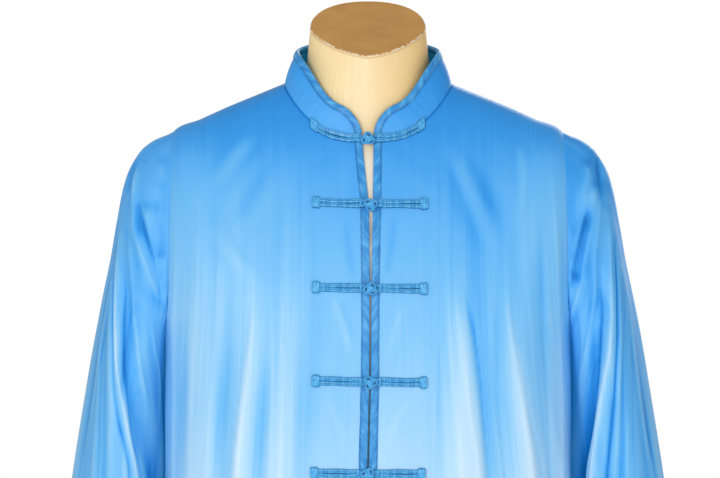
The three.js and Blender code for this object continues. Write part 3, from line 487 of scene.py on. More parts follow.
def front_face(side):
    """A front on the +X side from its edge to its side seam, with its relief."""
    flat = []
    for ring in PANEL_RINGS:
        row = curve_at(CLOTH_RINGS, ring)
        armhole = 90 - ARM_FRONT_TURN * panel_cut(ring)
        flat.append(ring_point(row, panel_turns(row, front_edge_turn(row), 90, armhole, FRONT_SHARES)))
    flat = np.array(flat)
    return flat, front_relief(side, flat, FRONT_SHARES)


def front_flow(side, x, z):
    """Distances from the middle, counted along the folds as they fan out going down."""
    return x / (1 + FAN[side] * smooth((-z - 140) / 560))


def front_relief(side, flat, shares):
    """How far a front's cloth stands out of its plain rings."""
    x, z = flat[..., 0], flat[..., 2]
    flow = front_flow(side, x, z)
    calm = smooth((1 - shares) / 0.1)
    seed = RIPPLE_SEEDS[f"front_{side}"]
    relief = calm * crease_heights(FRONT_CREASES[side], x, z)
    loose = smooth((x - 40) / 50) * smooth((-z - 60) / 120)
    relief += calm * loose * 0.6 * ripples(flow, -z, seed, (13, 190))
    relief += calm * lerp(0.3, 1, loose) * 0.26 * ripples(flow, -z, seed + 1, (5.5, 120))
    relief += calm * 0.35 * ripples(x, -z, seed + 2, (48, 60))
    facing = (x - FACING_WIDTH) / 1.8
    fade = smooth((-z - 52) / 60) * (0.6 + 0.4 * smooth((-z - 230) / 60))
    relief += fade * (-0.8 * np.exp(-(facing**2)) + 0.4 * np.exp(-((facing + 1.8) ** 2)))
    to_side = steps_along(flat[:, ::-1], 1)[:, ::-1]
    along = steps_along(flat[:, -1])[:, None]
    relief += 0.28 * gathers(along, to_side, 1.9, 7.3, 9) * smooth((-z - 110) / 90)
    relief += seam_tuck(to_side, SIDE_TUCK)
    relief += hem_relief(flat[-1:, :, 2] + HEM_TURNING - z)
    return relief


def back_face():
    """The whole back from the +X side to the -X side."""
    half_shares = lerp(np.linspace(0, 1, 89), np.sin(np.linspace(0, math.pi / 2, 89)), 0.5)
    flat = []
    for ring in body_rings(34, 56, 110):
        row = curve_at(CLOTH_RINGS, ring)
        armhole = 90 + ARM_BACK_TURN * panel_cut(ring)
        half = ring_point(row, panel_turns(row, 180, 90, armhole, half_shares))[::-1]
        flat.append(np.concatenate([half, half[-2::-1] * (-1, 1, 1)]))
    flat = np.array(flat)
    x, z = flat[..., 0], flat[..., 2]
    shares = np.concatenate([half_shares[::-1], half_shares[1:]])
    calm = smooth((1 - shares) / 0.1)
    flow = front_flow("back", x, z) + 300
    relief = calm * crease_heights(BACK_CREASES, x, z)
    free = calm * smooth((-z - 10) / 60)
    seed = RIPPLE_SEEDS["back"]
    relief += calm * smooth((-z - 60) / 120) * 0.6 * ripples(flow, -z, seed, (14, 190))
    relief += free * 0.26 * ripples(flow, -z, seed + 1, (5.5, 120))
    relief += free * 0.5 * ripples(x + 300, -z, seed + 2, (60, 70))
    from_neck = steps_along(flat)
    relief += NAPE_EASE * smooth(from_neck / 9) * smooth((95 - from_neck) / 60) * smooth((1 - shares) / 0.45)
    ends = np.minimum(steps_along(flat, 1), steps_along(flat[:, ::-1], 1)[:, ::-1])
    relief += seam_tuck(ends, SIDE_TUCK)
    relief += hem_relief(flat[-1:, :, 2] + HEM_TURNING - z)
    return flat, relief


def sleeve_point(turn, z):
    out_x, in_x, half_depth, mid_y = np.moveaxis(curve_at(SLEEVE_LEVELS, z), -1, 0)
    across, forward = np.cos(np.radians(turn)), np.sin(np.radians(turn))
    squared = (across < 0) & (forward > 0)
    across = np.where(squared, np.sign(across) * np.abs(across) ** INNER_SQUARE, across)
    forward = np.where(squared, np.abs(forward) ** INNER_SQUARE, forward)
    x = (out_x + in_x) / 2 + (out_x - in_x) / 2 * across
    return np.stack(np.broadcast_arrays(x, mid_y - half_depth * forward, z), -1)


def armhole_point(turn):
    ring = 1 + (1 - np.cos(np.radians(turn))) / 2
    swing = np.abs(np.sin(np.radians(turn)))
    reach = np.where(turn <= 180, -ARM_FRONT_TURN, ARM_BACK_TURN)
    return ring_point(curve_at(CLOTH_RINGS, ring), 90 + reach * swing)


def sleeve_flow(turns, z):
    """Turns in mm, counted along the folds as they swing in and down from the sleeve's outer edge."""
    swing = 40 * smooth((-z - 45) / 85) + 100 * (1 - np.exp(-((np.maximum(-z - 60, 0) / 220) ** 1.5)))
    half = np.where(turns <= 180, turns, 360 - turns)
    start = half - swing * np.sin(np.radians(np.clip(half - swing / 2, 0, 180)))
    return np.where(turns <= 180, start, 360 - start) * FLOW_PER_TURN


def sleeve_face(side):
    """A sleeve on the +X side, from the armhole down to the cuff, all round."""
    turns = np.concatenate([np.arange(0, 186, 1.35), np.arange(187, 359, 3.1)])
    down = lerp(np.linspace(0, 1, 150), np.linspace(0, 1, 150) ** 2, 0.4)[:, None]
    seam = armhole_point(turns)
    cuff = CUFF_Z + CUFF_TILT * np.cos(np.radians(turns))
    z = lerp(seam[:, 2][None], cuff[None], down)
    start = seam - sleeve_point(turns, seam[:, 2])
    settle = np.exp((z - seam[:, 2]) / SLEEVE_SETTLES)[..., None]
    inner = np.clip(-np.cos(np.radians(turns)), 0, 1) ** 2 * (1 - settle[..., 0])
    levels = curve_at(SLEEVE_LEVELS, z)
    overlap = np.clip(levels[..., 1] - side_reach(z) + INNER_OVERLAP, 0, INNER_TUCK) * inner
    flat = sleeve_point(np.broadcast_to(turns, z.shape), z) + start * settle
    flat = flat + np.stack([-overlap, INNER_BACK * inner * smooth((-z - 230) / 90), 0 * z], -1)
    fall = steps_along(flat)
    relief = sum(crease_heights(SLEEVE_CREASES[side], turns + round_again, z) for round_again in (0, 360))
    relief = relief * smooth(fall / 12)
    seed = RIPPLE_SEEDS[f"sleeve_{side}"]
    flow = sleeve_flow(turns, z)
    wrap = smooth(np.minimum(turns, 360 - turns) / 12)
    relief = relief + wrap * 0.6 * smooth(fall / 50) * ripples(flow, fall, seed, (12, 180))
    relief = relief + wrap * 0.26 * ripples(flow, fall, seed + 1, (5, 110))
    along = np.radians(turns) * 60
    gathered = gathers(along, fall, 2.1, 8.1, 10) * smooth(fall / 3) * smooth((-seam[:, 2] - 110) / 90)
    relief = relief + 0.3 * gathered
    relief = relief + seam_tuck(fall, armhole_depth(seam[:, 2]))
    relief = relief + hem_relief(fall[-1:] - HEM_TURNING - fall)
    return flat, relief, flow


def side_reach(z):
    """How far out the body's side seam is."""
    skirt = CLOTH_RINGS[8:][::-1]
    return np.interp(z, skirt[:, 2], skirt[:, 1])


def with_relief(grid, relief, normals):
    """A grid moved out by its relief, or in where that is below 0."""
    return grid + normals * relief[..., None]


# ---- Meshes ------------------------------------------------------------------------------------


def grid_corners(rows, columns, is_round):
    """Row and column numbers of the corners of a grid's cells, going round each cell."""
    i, j = np.meshgrid(np.arange(rows - 1), np.arange(columns - (not is_round)), indexing="ij")
    i, j = i.ravel(), j.ravel()
    return np.stack([i, i + 1, i + 1, i], 1), np.stack([j, j, j + 1, j + 1], 1)


def rim_corners(rows, columns, is_round):
    """The same for the cells between an outer and an inner grid: row, column, and 1 where inside."""
    j = np.arange(columns - (not is_round))
    i = np.arange(rows - 1)
    last, end = rows - 1, columns - 1
    sides = [(0 * j, j, 0 * j, j + 1), (0 * j + last, j + 1, 0 * j + last, j)]
    if not is_round:
        sides += [(i + 1, 0 * i, i, 0 * i), (i, 0 * i + end, i + 1, 0 * i + end)]
    rims = [
        np.stack([(a, b, 0 * a), (c, d, 0 * a), (c, d, 0 * a + 1), (a, b, 0 * a + 1)])
        for a, b, c, d in sides]
    return np.concatenate([np.transpose(rim, (2, 0, 1)) for rim in rims])


def swayed(points):
    """The jacket's points with its centre front hanging a little to one side."""
    x, y, z = np.asarray(points, float).T
    sway = np.interp(-z, CENTRE_SWAY[0], CENTRE_SWAY[1])
    shift = sway * np.exp(-((x / 110) ** 2)) * smooth(-y / 60)
    return np.stack([x + shift, y, z], 1)


def mesh_object(name, points, faces, spans, finish, tones, crisp=None):
    """A mesh in metres at its height.

    spans are the cloth's own distances, in mm, at each face corner. tones are numbers or vectors at
    each point, which the finish reads by name. crisp says which faces are shaded flat.
    """
    mesh = bpy.data.meshes.new(name)
    placed = (swayed(points) + (0, 0, NECK_Z)) / 1000
    mesh.from_pydata(placed.tolist(), [], faces)
    layer = mesh.uv_layers.new(name="cloth")
    layer.data.foreach_set("uv", np.asarray(spans, np.float32).ravel())
    for tone, values in tones.items():
        kind, key = ("FLOAT", "value") if np.ndim(values) == 1 else ("FLOAT_VECTOR", "vector")
        attribute = mesh.attributes.new(tone, kind, "POINT")
        attribute.data.foreach_set(key, np.asarray(values, np.float32).ravel())
    mesh.shade_smooth()
    if crisp is not None:
        mesh.attributes.new("sharp_face", "BOOLEAN", "FACE").data.foreach_set("value", crisp)
    mesh.materials.append(finish)
    piece = bpy.data.objects.new(name, mesh)
    bpy.context.scene.collection.objects.link(piece)
    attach(piece, "root")
    return piece


def shell(name, outer, wall, finish, spans, is_round=False, facing=None, mirrored=False, **tones):
    """A thin closed wall behind an outer grid of points."""
    rows, columns = outer.shape[:2]
    normals = normals_of(outer, is_round, facing)
    inner = outer - normals * wall
    points = np.concatenate([outer.reshape(-1, 3), inner.reshape(-1, 3)])
    size = rows * columns
    i, j = grid_corners(rows, columns, is_round)
    face = i * columns + j % columns
    rim = rim_corners(rows, columns, is_round)
    rim_face = rim[..., 0] * columns + rim[..., 1] % columns + rim[..., 2] * size
    faces = np.concatenate([face, face[:, ::-1] + size, rim_face])
    u, v = spans
    rim_i, rim_j = rim[..., 0], rim[..., 1]
    uv = np.concatenate([
        np.stack([u[i, j], v[i, j]], -1),
        np.stack([u[i, j], v[i, j]], -1)[:, ::-1],
        np.stack([u[rim_i, rim_j], v[rim_i, rim_j]], -1),
    ])
    turn = np.cross(outer[1, 0] - outer[0, 0], outer[0, 1] - outer[0, 0])
    if (turn * normals[0, 0]).sum() < 0:
        faces, uv = faces[:, ::-1], uv[:, ::-1]
    if mirrored:
        points = points * (-1, 1, 1)
        faces, uv = faces[:, ::-1], uv[:, ::-1]
    flat_tones = {tone: values.reshape(size, *values.shape[2:]) for tone, values in tones.items()}
    doubled = {tone: np.concatenate([values, values]) for tone, values in flat_tones.items()}
    crisp = np.arange(len(faces)) >= 2 * len(face)
    return mesh_object(name, points, faces.tolist(), uv, finish, doubled, crisp)


def closed_up(grid, is_round=True):
    """A grid with its first column again after its last, where it goes round."""
    return np.concatenate([grid, grid[:, :1]], 1) if is_round else grid


def spans_of(grid, is_round=False):
    """Distances across and down the cloth, from the middle of its top, for its weave and stitches."""
    closed = closed_up(grid, is_round)
    across = steps_along(closed, 1)
    return across - across[:, -1:] / 2, steps_along(closed, 0)


def hollows(relief, reach):
    """How far each point stands out of its surroundings, reach being a number of columns."""
    padded = np.pad(relief, ((0, 0), (reach, reach)), mode="edge")
    total = np.cumsum(np.pad(padded, ((0, 0), (1, 0))), axis=1)
    width = 2 * reach + 1
    return relief - (total[:, width:] - total[:, :-width]) / width


def standing(relief, near, wide):
    """How far each point stands out, of its near surroundings and of its wider ones together. The satin paints
    this as shade in hollows and as highlight on ridges.
    """
    return hollows(relief, near) + 0.5 * hollows(relief, wide)


# ---- Finishes ----------------------------------------------------------------------------------


class Value:
    """A number in a finish's nodes. Arithmetic on it adds Math nodes."""

    def __init__(self, finish, socket):
        self.finish, self.socket = finish, socket

    def math(self, operation, *values, **settings):
        return self.finish.add("ShaderNodeMath", {"operation": operation, **settings}, list(values))

    def __add__(self, other):
        return self.math("ADD", self, other)

    def __sub__(self, other):
        return self.math("SUBTRACT", self, other)

    def __rsub__(self, other):
        return self.math("SUBTRACT", other, self)

    def __mul__(self, other):
        return self.math("MULTIPLY", self, other)

    def __truediv__(self, other):
        return self.math("DIVIDE", self, other)

    def __gt__(self, other):
        return self.math("GREATER_THAN", self, other)

    __radd__ = __add__

    def clamped(self):
        return self.math("ADD", self, 0.0, use_clamp=True)

    def size(self):
        return self.math("ABSOLUTE", self)

    def within(self, half):
        """1 at 0, falling softly to 0 at half on either side."""
        return (1 - self.size() / half).clamped()


class Finish:
    """A material built up node by node."""

    def __init__(self, name, **shader_values):
        self.material = bpy.data.materials.new(name)
        self.material.use_nodes = True
        self.tree = self.material.node_tree
        self.tree.nodes.clear()
        output = self.tree.nodes.new("ShaderNodeOutputMaterial")
        self.shader = self.tree.nodes.new("ShaderNodeBsdfPrincipled")
        self.tree.links.new(self.shader.outputs[0], output.inputs["Surface"])
        for socket, value in shader_values.items():
            self.shader.inputs[socket.replace("_", " ")].default_value = value

    def add(self, kind, settings=None, values=(), output=0):
        """One node: its settings first, then its sockets, by order or by name."""
        node = self.tree.nodes.new(kind)
        for setting, value in (settings or {}).items():
            if setting == "stops":
                self._set_stops(node.color_ramp, value)
            else:
                setattr(node, setting, value)
        sockets = [s for s in node.inputs if s.enabled]
        pairs = zip(sockets, values) if isinstance(values, (list, tuple)) else (
            (next(s for s in sockets if s.name == key), value) for key, value in values.items())
        for socket, value in pairs:
            self.join(socket, value)
        outputs = [s for s in node.outputs if s.enabled]
        chosen = outputs[output] if isinstance(output, int) else node.outputs[output]
        return Value(self, chosen)

    def _set_stops(self, ramp, stops):
        while len(ramp.elements) < len(stops):
            ramp.elements.new(0.5)
        for element, (place, colour) in zip(ramp.elements, stops):
            element.position = place
            element.color = colour

    def join(self, socket, value):
        if isinstance(value, Value):
            self.tree.links.new(value.socket, socket)
        else:
            socket.default_value = value

    def feed(self, **values):
        """Joins what varies over the surface to the shader."""
        for socket, value in values.items():
            self.join(self.shader.inputs[socket.replace("_", " ")], value)
        return self.material

    def tone(self, name):
        return self.add("ShaderNodeAttribute", {"attribute_name": name}, output="Fac")

    def spans(self):
        """The cloth's own distances across and down, in mm."""
        return self.parts(self.add("ShaderNodeUVMap", {"uv_map": "cloth"}))[:2]

    def along_folds(self, across, down):
        """The cloth's own places along its folds, in so many rounds of a pattern for each mm."""
        flow = self.add("ShaderNodeAttribute", {"attribute_name": "flow"}, output="Vector")
        return self.add("ShaderNodeVectorMath", {"operation": "MULTIPLY"}, [flow, (across, across, down)])

    def position(self):
        """The place in the part, in metres."""
        place = self.add("ShaderNodeTexCoord", output="Object")
        return place, self.parts(place)

    def parts(self, vector):
        return [self.add("ShaderNodeSeparateXYZ", None, [vector], axis) for axis in range(3)]

    def vector(self, *values):
        return self.add("ShaderNodeCombineXYZ", None, list(values))

    def noise(self, place, scale, detail=2.0, roughness=0.5):
        values = {"Vector": place, "Scale": scale, "Detail": detail, "Roughness": roughness}
        return self.add("ShaderNodeTexNoise", {"noise_dimensions": "3D"}, values)

    def ramp(self, value, *stops):
        return self.add("ShaderNodeValToRGB", {"stops": stops}, [value], output="Color")

    def mix(self, share, first, second):
        return self.add("ShaderNodeMix", {"data_type": "RGBA"}, {"Factor": share, "A": first, "B": second})

    def raised(self, height, distance, strength):
        values = {"Strength": strength, "Distance": distance, "Height": height}
        return self.add("ShaderNodeBump", None, values)


def paint(red, green, blue):
    """A colour named as it looks, 0 to 255, as the shader's linear light."""
    shares = [level / 255 for level in (red, green, blue)]
    linear = [c / 12.92 if c <= 0.04045 else ((c + 0.055) / 1.055) ** 2.4 for c in shares]
    return (*linear, 1.0)


def satin_finish():
    """Dyed satin, deep at the shoulders and nearly white at the hem, with long floats down the cloth. Its
    colour also holds painted shade in the hollows of its folds, painted highlight on their ridges, painted
    sheen in long stripes along them and a faint painted glow.
    """
    # The faint blue glow is painted light: it lifts the satin's shade to deep blue, standing in for light
    # passing through and between its folds.
    finish = Finish(
        "jacket satin", Specular_IOR_Level=0.15, Emission_Color=(0.0, 0.19, 0.30, 1.0), Emission_Strength=0.2)
    across, down = finish.spans()
    dye, relief, drape = finish.tone("dye"), finish.tone("relief"), finish.tone("drape")
    blotch = finish.noise(finish.vector(across, down * 0.35, 0.0), 0.03, 2.0)
    # painted sheen: long stripes and broad bands of light and shade along the folds
    sheen_streaks = finish.noise(finish.along_folds(0.24, 0.005), 1.0, 4.0, 0.62)
    sheen_bands = finish.noise(finish.along_folds(0.035, 0.0016), 1.0, 2.0)
    # painted shade and highlight: the relief deepens the dye in the hollows of the folds and lightens it on
    # their ridges, on top of the painted sheen
    tone = relief * 0.085 + ((sheen_streaks - 0.5) * 0.42 + (sheen_bands - 0.5) * 0.18) * drape
    dye_with_painted_light = dye + (blotch - 0.5) * 0.05 + tone * (1 - dye * 0.9)
    coloured = finish.ramp(
        (dye_with_painted_light + 0.3) / 1.3,
        (0.0, paint(4, 78, 160)), (0.092, paint(14, 98, 184)), (0.169, paint(30, 116, 200)),
        (0.231, paint(46, 132, 212)), (0.277, paint(58, 147, 226)), (0.331, paint(88, 168, 236)),
        (0.4, paint(108, 180, 236)), (0.469, paint(128, 191, 237)), (0.592, paint(166, 209, 240)),
        (0.769, paint(204, 228, 245)), (1.0, paint(236, 243, 250)),
    )
    floats = finish.noise(finish.vector(across * 2.2, down * 0.06, 0.0), 1.0, 3.0)
    weave = finish.noise(finish.vector(across * 5.0, down * 1.2, 0.0), 1.0, 1.0)
    stitch = dashes(finish.tone("stitch"), across + down, 1.5, 0.45, 0.5)
    floated = finish.mix(floats * 0.07, coloured, paint(30, 110, 205))
    height = floats * 0.5 + weave * 0.3 - stitch * 2.0
    return finish.feed(
        Base_Color=finish.mix(stitch * 0.55, floated, paint(24, 92, 168)),
        Roughness=0.36 + floats * 0.12 - (tone * 0.2), Normal=finish.raised(height, 0.0002, 0.35))


def dashes(line, along, length, gap, half):
    """Sewing stitches of a length, with half a gap at each end: 1 on their thread, whose half width is half.

    line is the distance from their line and along the distance down it, all in mm.
    """
    return line.within(half) * (line.math("PINGPONG", along, length) > gap)


def binding_finish():
    """Bias cut satin of one deep sky blue, lightened in patches by painted highlights of its gloss, with its
    edge stitching in a furrow darkened by painted shade.
    """
    finish = Finish("binding satin", Specular_IOR_Level=0.35)
    across, down = finish.spans()
    grain = finish.noise(finish.vector((across + down) * 1.6, (down - across) * 0.1, 0.0), 1.0, 2.0)
    # painted highlights: lighter patches of the satin's gloss
    painted_gloss = finish.noise(finish.vector((across + down * 0.6) * 0.22, (down - across) * 0.05, 0.0), 1.0, 3.0)
    base = finish.ramp(
        painted_gloss, (0.30, paint(38, 128, 202)), (0.5, paint(56, 148, 216)), (0.66, paint(84, 172, 230)),
        (0.84, paint(136, 204, 242)))
    line = finish.tone("stitch")
    stitch, edge = dashes(line, down, 1.3, 0.35, 0.4), line.within(1.3)
    # painted shade: the dye deepened in the furrow along the stitch line
    colour = finish.mix(edge * 0.6, base, paint(0, 96, 160))
    return finish.feed(
        Base_Color=finish.mix(stitch * 0.4, colour, paint(60, 140, 205)),
        Roughness=0.34 + grain * 0.12, Normal=finish.raised(grain * 0.4 - edge + stitch * 0.8, 0.0003, 0.5))


def cord_finish():
    """Satin cord sewn down along its edges and between its two runs, with a dark stitched line down the middle
    of each run. The darkening at the sides of a run is partly painted shade where it turns down to the cloth
    and meets the other run, and a knot's darkening under its crossings and over its core is painted shade.
    """
    finish = Finish("frog cord satin", Specular_IOR_Level=0.45)
    across, down = finish.spans()
    groove = finish.tone("groove")
    grain = finish.noise(finish.vector((across - down) * 1.1, (down + across) * 0.15, 0.0), 1.0, 2.0)
    patches = finish.noise(finish.vector(across * 0.55, down * 0.14, 0.0), 1.0, 2.0)
    base = finish.ramp(
        grain * 0.08 + patches * 0.92,
        (0.36, paint(46, 144, 212)), (0.5, paint(66, 166, 226)), (0.62, paint(108, 194, 240)))
    return finish.feed(
        Base_Color=finish.mix(groove.clamped(), base, paint(0, 68, 130)),
        Roughness=0.34 + grain * 0.06, Normal=finish.raised(grain * 0.12, 0.0002, 0.3))


def form_finish():
    """Cream eggshell paint over a smooth moulding, handled and mottled, with painted shade that warms it to tan
    towards its sides, most of all to the +X side.
    """
    finish = Finish("form paint", Specular_IOR_Level=0.4)
    place, (x, _, height) = finish.position()
    cloud = finish.noise(place, 6.0, 2.0)
    fine = finish.noise(place, 260.0, 2.0)
    scuffs = finish.noise(place, 42.0, 4.0, 0.7)
    # painted shade: the mottle runs to a warm tan with x, most of all on the +X side
    mottle_and_side_shade = finish.ramp(
        cloud * 0.5 + x * 4.0,
        (0.0, paint(250, 220, 160)), (0.12, paint(252, 226, 172)), (0.28, paint(249, 224, 178)),
        (0.4, paint(244, 210, 148)), (0.52, paint(222, 170, 94)))
    base = finish.mix(((0.79 - height) * 40.0).clamped(), mottle_and_side_shade, paint(238, 226, 206))
    worn = (scuffs - 0.66) * 8.0
    return finish.feed(
        Base_Color=finish.mix(worn.clamped() * 0.3, base, paint(206, 168, 110)),
        Roughness=0.42 + cloud * 0.15, Normal=finish.raised(fine, 0.0002, 0.3))


def cap_finish():
    """A tan painted board on the neck, mottled with wear, its front edge chipped pale and dark."""
    finish = Finish("cap board", Specular_IOR_Level=0.3)
    place, (x, y, z) = finish.position()
    cloud = finish.noise(place, 24.0, 4.0, 0.6)
    fibre = finish.noise(finish.vector(x, y * 1.6, z), 320.0, 2.0)
    board = finish.ramp(cloud * 0.8 + fibre * 0.2, (0.3, paint(188, 136, 68)), (0.7, paint(214, 162, 92)))
    depth = CAP_TOP[0] + y * CAP_TOP[1] * 1000 - (z * 1000 - NECK_Z)
    painted = finish.mix(((depth - 1.0) * 3.0).clamped(), board, paint(238, 208, 158))
    chips = finish.noise(place, 300.0, 3.0, 0.7)
    edge = (1 - (depth - 1.0).size() / 0.9).clamped()
    worn = finish.noise(place, 60.0, 2.0)
    shown = edge * ((chips + worn * 0.5 - 0.70) * 9.0).clamped()
    pale = finish.mix(shown, painted, paint(252, 246, 230))
    nicks = edge * ((0.43 - chips) * 22.0).clamped() * ((0.56 - worn) * 12.0).clamped()
    return finish.feed(
        Base_Color=finish.mix(nicks, pale, paint(92, 62, 34)),
        Roughness=0.5 + cloud * 0.2, Normal=finish.raised(fibre, 0.0003, 0.3))


def base_finish():
    """Off-white powder coat with its fine orange peel and a few marks."""
    finish = Finish("base powder coat", Specular_IOR_Level=0.5)
    place, _ = finish.position()
    peel = finish.noise(place, 700.0, 1.0)
    marks = finish.noise(place, 34.0, 5.0, 0.75)
    base = finish.ramp(marks, (0.35, paint(228, 228, 225)), (0.8, paint(206, 205, 200)))
    return finish.feed(Base_Color=base, Roughness=0.34 + marks * 0.2, Normal=finish.raised(peel, 0.0002, 0.4))


def steel_finish():
    """Steel brushed round the pole."""
    finish = Finish("brushed steel", Metallic=1.0)
    _, (x, y, z) = finish.position()
    brushed = finish.noise(finish.vector(x * 4.0, y * 4.0, z * 420.0), 6.0, 3.0)
    base = finish.ramp(brushed, (0.3, paint(176, 178, 181)), (0.7, paint(206, 208, 210)))
    return finish.feed(
        Base_Color=base, Roughness=0.2 + brushed * 0.22, Normal=finish.raised(brushed, 0.0001, 0.3))


def floor_finish():
    """The stage's white floor."""
    finish = Finish("floor", Specular_IOR_Level=0.2)
    place, _ = finish.position()
    tone = finish.noise(place, 0.8, 2.0)
    base = finish.ramp(tone, (0.2, paint(246, 246, 246)), (0.8, paint(250, 250, 250)))
    return finish.feed(Base_Color=base, Roughness=0.7 + tone * 0.1)


SATIN = satin_finish()
BINDING = binding_finish()
CORD = cord_finish()

# ---- Jacket ------------------------------------------------------------------------------------

# How pale a sleeve is at NECK_Z, and how much paler it gets down to the hem's depth. The fronts and
# the back go from 0 to 1, so the sleeves are paler at their heads and pale more slowly.
# The right sleeve starts deeper and pales more slowly than the left: painted shade, on the side away from the
# key light.
SLEEVE_DYE_AND_SHADE = {"left": (0.085, 0.35), "right": (0.03, 0.31)}
AWAY = 9.0  # mm from a stitch line that counts as no stitch


def dye_down(z):
    """How far down the jacket a height is: 0 at NECK_Z, 1 at the hem. The dye pales with it."""
    return np.clip(-z / HEM_DEPTH, 0, 1)


def cut_area(grid, is_round=False):
    """The area of a grid of points, in square metres."""
    closed = closed_up(grid, is_round)
    a, b = closed[1:, :-1] - closed[:-1, :-1], closed[:-1, 1:] - closed[:-1, :-1]
    return float(np.linalg.norm(np.cross(a, b), axis=-1).sum()) / 1e6


def hem_line(grid):
    """Distance from a hem's stitch line."""
    up = steps_along(grid[::-1])[::-1]
    return np.minimum(np.abs(up - HEM_TURNING + 2), AWAY)


def flow_vectors(flow, fall, is_round=False):
    """The cloth's own places along its folds. Those of a tube lie round a circle, so that they close."""
    turn = flow / FLOW_PER_TURN * math.pi / 180 if is_round else 0 * flow
    radius = FLOW_PER_TURN * 180 / math.pi
    ring = [radius * np.cos(turn), radius * np.sin(turn)] if is_round else [flow, 0 * flow]
    return np.stack([*ring, fall], -1)


def painted_light_and_shade_beside(side, x, z):
    """How much a front's dye is lightened or darkened towards its side, above the skirt: painted highlight high
    on the chest, painted shade in the hollow beside the folds and lower on the +X front, and darker lower on
    the -X front.
    """
    above_hem = 1 - smooth((-z - 430) / 200)
    if side == "left":
        paler = 0.075 * smooth((x - 50) / 50) * smooth((-z - 40) / 70) * (1 - smooth((-z - 200) / 130))
        return paler - 0.055 * smooth((-z - 220) / 100) * above_hem
    deeper = 0.03 * np.exp(-(((x - 100) / 30) ** 2)) * smooth((-z - 50) / 70) * (1 - smooth((-z - 200) / 130))
    paler = 0.08 * smooth((x - 130) / 40) * smooth((-z - 40) / 60) * (1 - smooth((-z - 120) / 90))
    shaded = 0.045 * smooth((x - 105) / 35) * (1 - smooth((x - 166) / 18)) * smooth((-z - 130) / 80) * above_hem
    return paler - deeper - shaded


def drape_of(x, z):
    """How freely the body's cloth hangs: 0 where it is held smooth, 1 where it falls in folds. This sets how
    strongly its painted sheen shows.
    """
    held = 0.35 + 0.65 * smooth((x - 55) / 30)
    return held * (0.16 + 0.84 * smooth((-z - 110) / 130))


def make_front(side):
    flat, relief = front_face(side)
    flow = front_flow(side, flat[..., 0], flat[..., 2]) + SHEEN_STREAK_STARTS[f"front_{side}"]
    grid = with_relief(flat, relief, normals_of(flat, facing=(0, -1, 0)))
    to_side = steps_along(flat[:, ::-1], 1)[:, ::-1]
    # painted light: the dye is lightened along the side edge below the chest, where the cloth turns away from
    # the lamps. The dye also carries the painted light and shade beside the side, and the relief is painted as
    # shade in the folds' hollows and highlight on their ridges.
    lit_edge = 0.09 * np.exp(-((to_side / 26) ** 2)) * smooth((-flat[..., 2] - 200) / 60)
    piece = shell(
        f"cloth_front_{side}", grid, SATIN_WALL, SATIN, spans_of(grid),
        facing=(0, -1, 0), mirrored=side == "left",
        dye=dye_down(flat[..., 2]) + painted_light_and_shade_beside(side, flat[..., 0], flat[..., 2]) + lit_edge,
        relief=standing(relief, 8, 24), stitch=hem_line(flat),
        drape=drape_of(flat[..., 0], flat[..., 2]), flow=flow_vectors(flow, -flat[..., 2]))
    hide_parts(f"front_{side}")
    min(cut_area(flat), 0.222)
    return piece


def make_back():
    flat, relief = back_face()
    flow = front_flow("back", flat[..., 0], flat[..., 2]) + SHEEN_STREAK_STARTS["back"]
    grid = with_relief(flat, relief, normals_of(flat, facing=(0, 1, 0)))
    # Its relief is painted by the satin as shade in the hollows of the folds and as highlight on their ridges.
    piece = shell(
        "cloth_back", grid, SATIN_WALL, SATIN, spans_of(grid), facing=(0, 1, 0),
        dye=dye_down(flat[..., 2]), relief=standing(relief, 8, 24), stitch=hem_line(flat),
        drape=drape_of(np.abs(flat[..., 0]) + 60, flat[..., 2]),
        flow=flow_vectors(flow, -flat[..., 2]))
    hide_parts("back")
    min(cut_area(flat), 0.45)
    return piece


def make_sleeve(side):
    flat, relief, flow = sleeve_face(side)
    start, slope = SLEEVE_DYE_AND_SHADE[side]
    # painted shade and highlight: the satin deepens the dye in the hollows of the folds by this and lightens it
    # on their ridges by somewhat less
    shown = 1.5 * standing(relief, 7, 20)
    shown = np.concatenate([shown[:1], np.where(shown > 0, 0.72 * shown, shown)])
    normals = normals_of(flat, is_round=True)
    grid = with_relief(flat, relief, normals)
    under = grid[0] - unit(grid[2] - grid[0]) * 3 - normals[0] * 1.5
    grid = np.concatenate([under[None], grid])
    flat, relief, flow = (np.concatenate([values[:1], values]) for values in (flat, relief, flow))
    piece = shell(
        f"cloth_sleeve_{side}", grid, SATIN_WALL, SATIN, spans_of(grid, True),
        is_round=True, mirrored=side == "left",
        dye=start + slope * dye_down(flat[..., 2]), relief=shown,
        stitch=hem_line(flat), drape=smooth((-flat[..., 2] - 20) / 200),
        flow=flow_vectors(flow, SHEEN_STREAK_STARTS[f"sleeve_{side}"] - flat[..., 2], True))
    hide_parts(f"sleeve_{side}")
    area = min(cut_area(flat, True), 0.257)
    return piece


# ---- Collar and bindings -----------------------------------------------------------------------


def round_neck(sizes, rise, turn):
    front, side, back = sizes
    return lerp(np.where(turn < 90, front, back), side, np.sin(np.radians(turn)) ** rise)


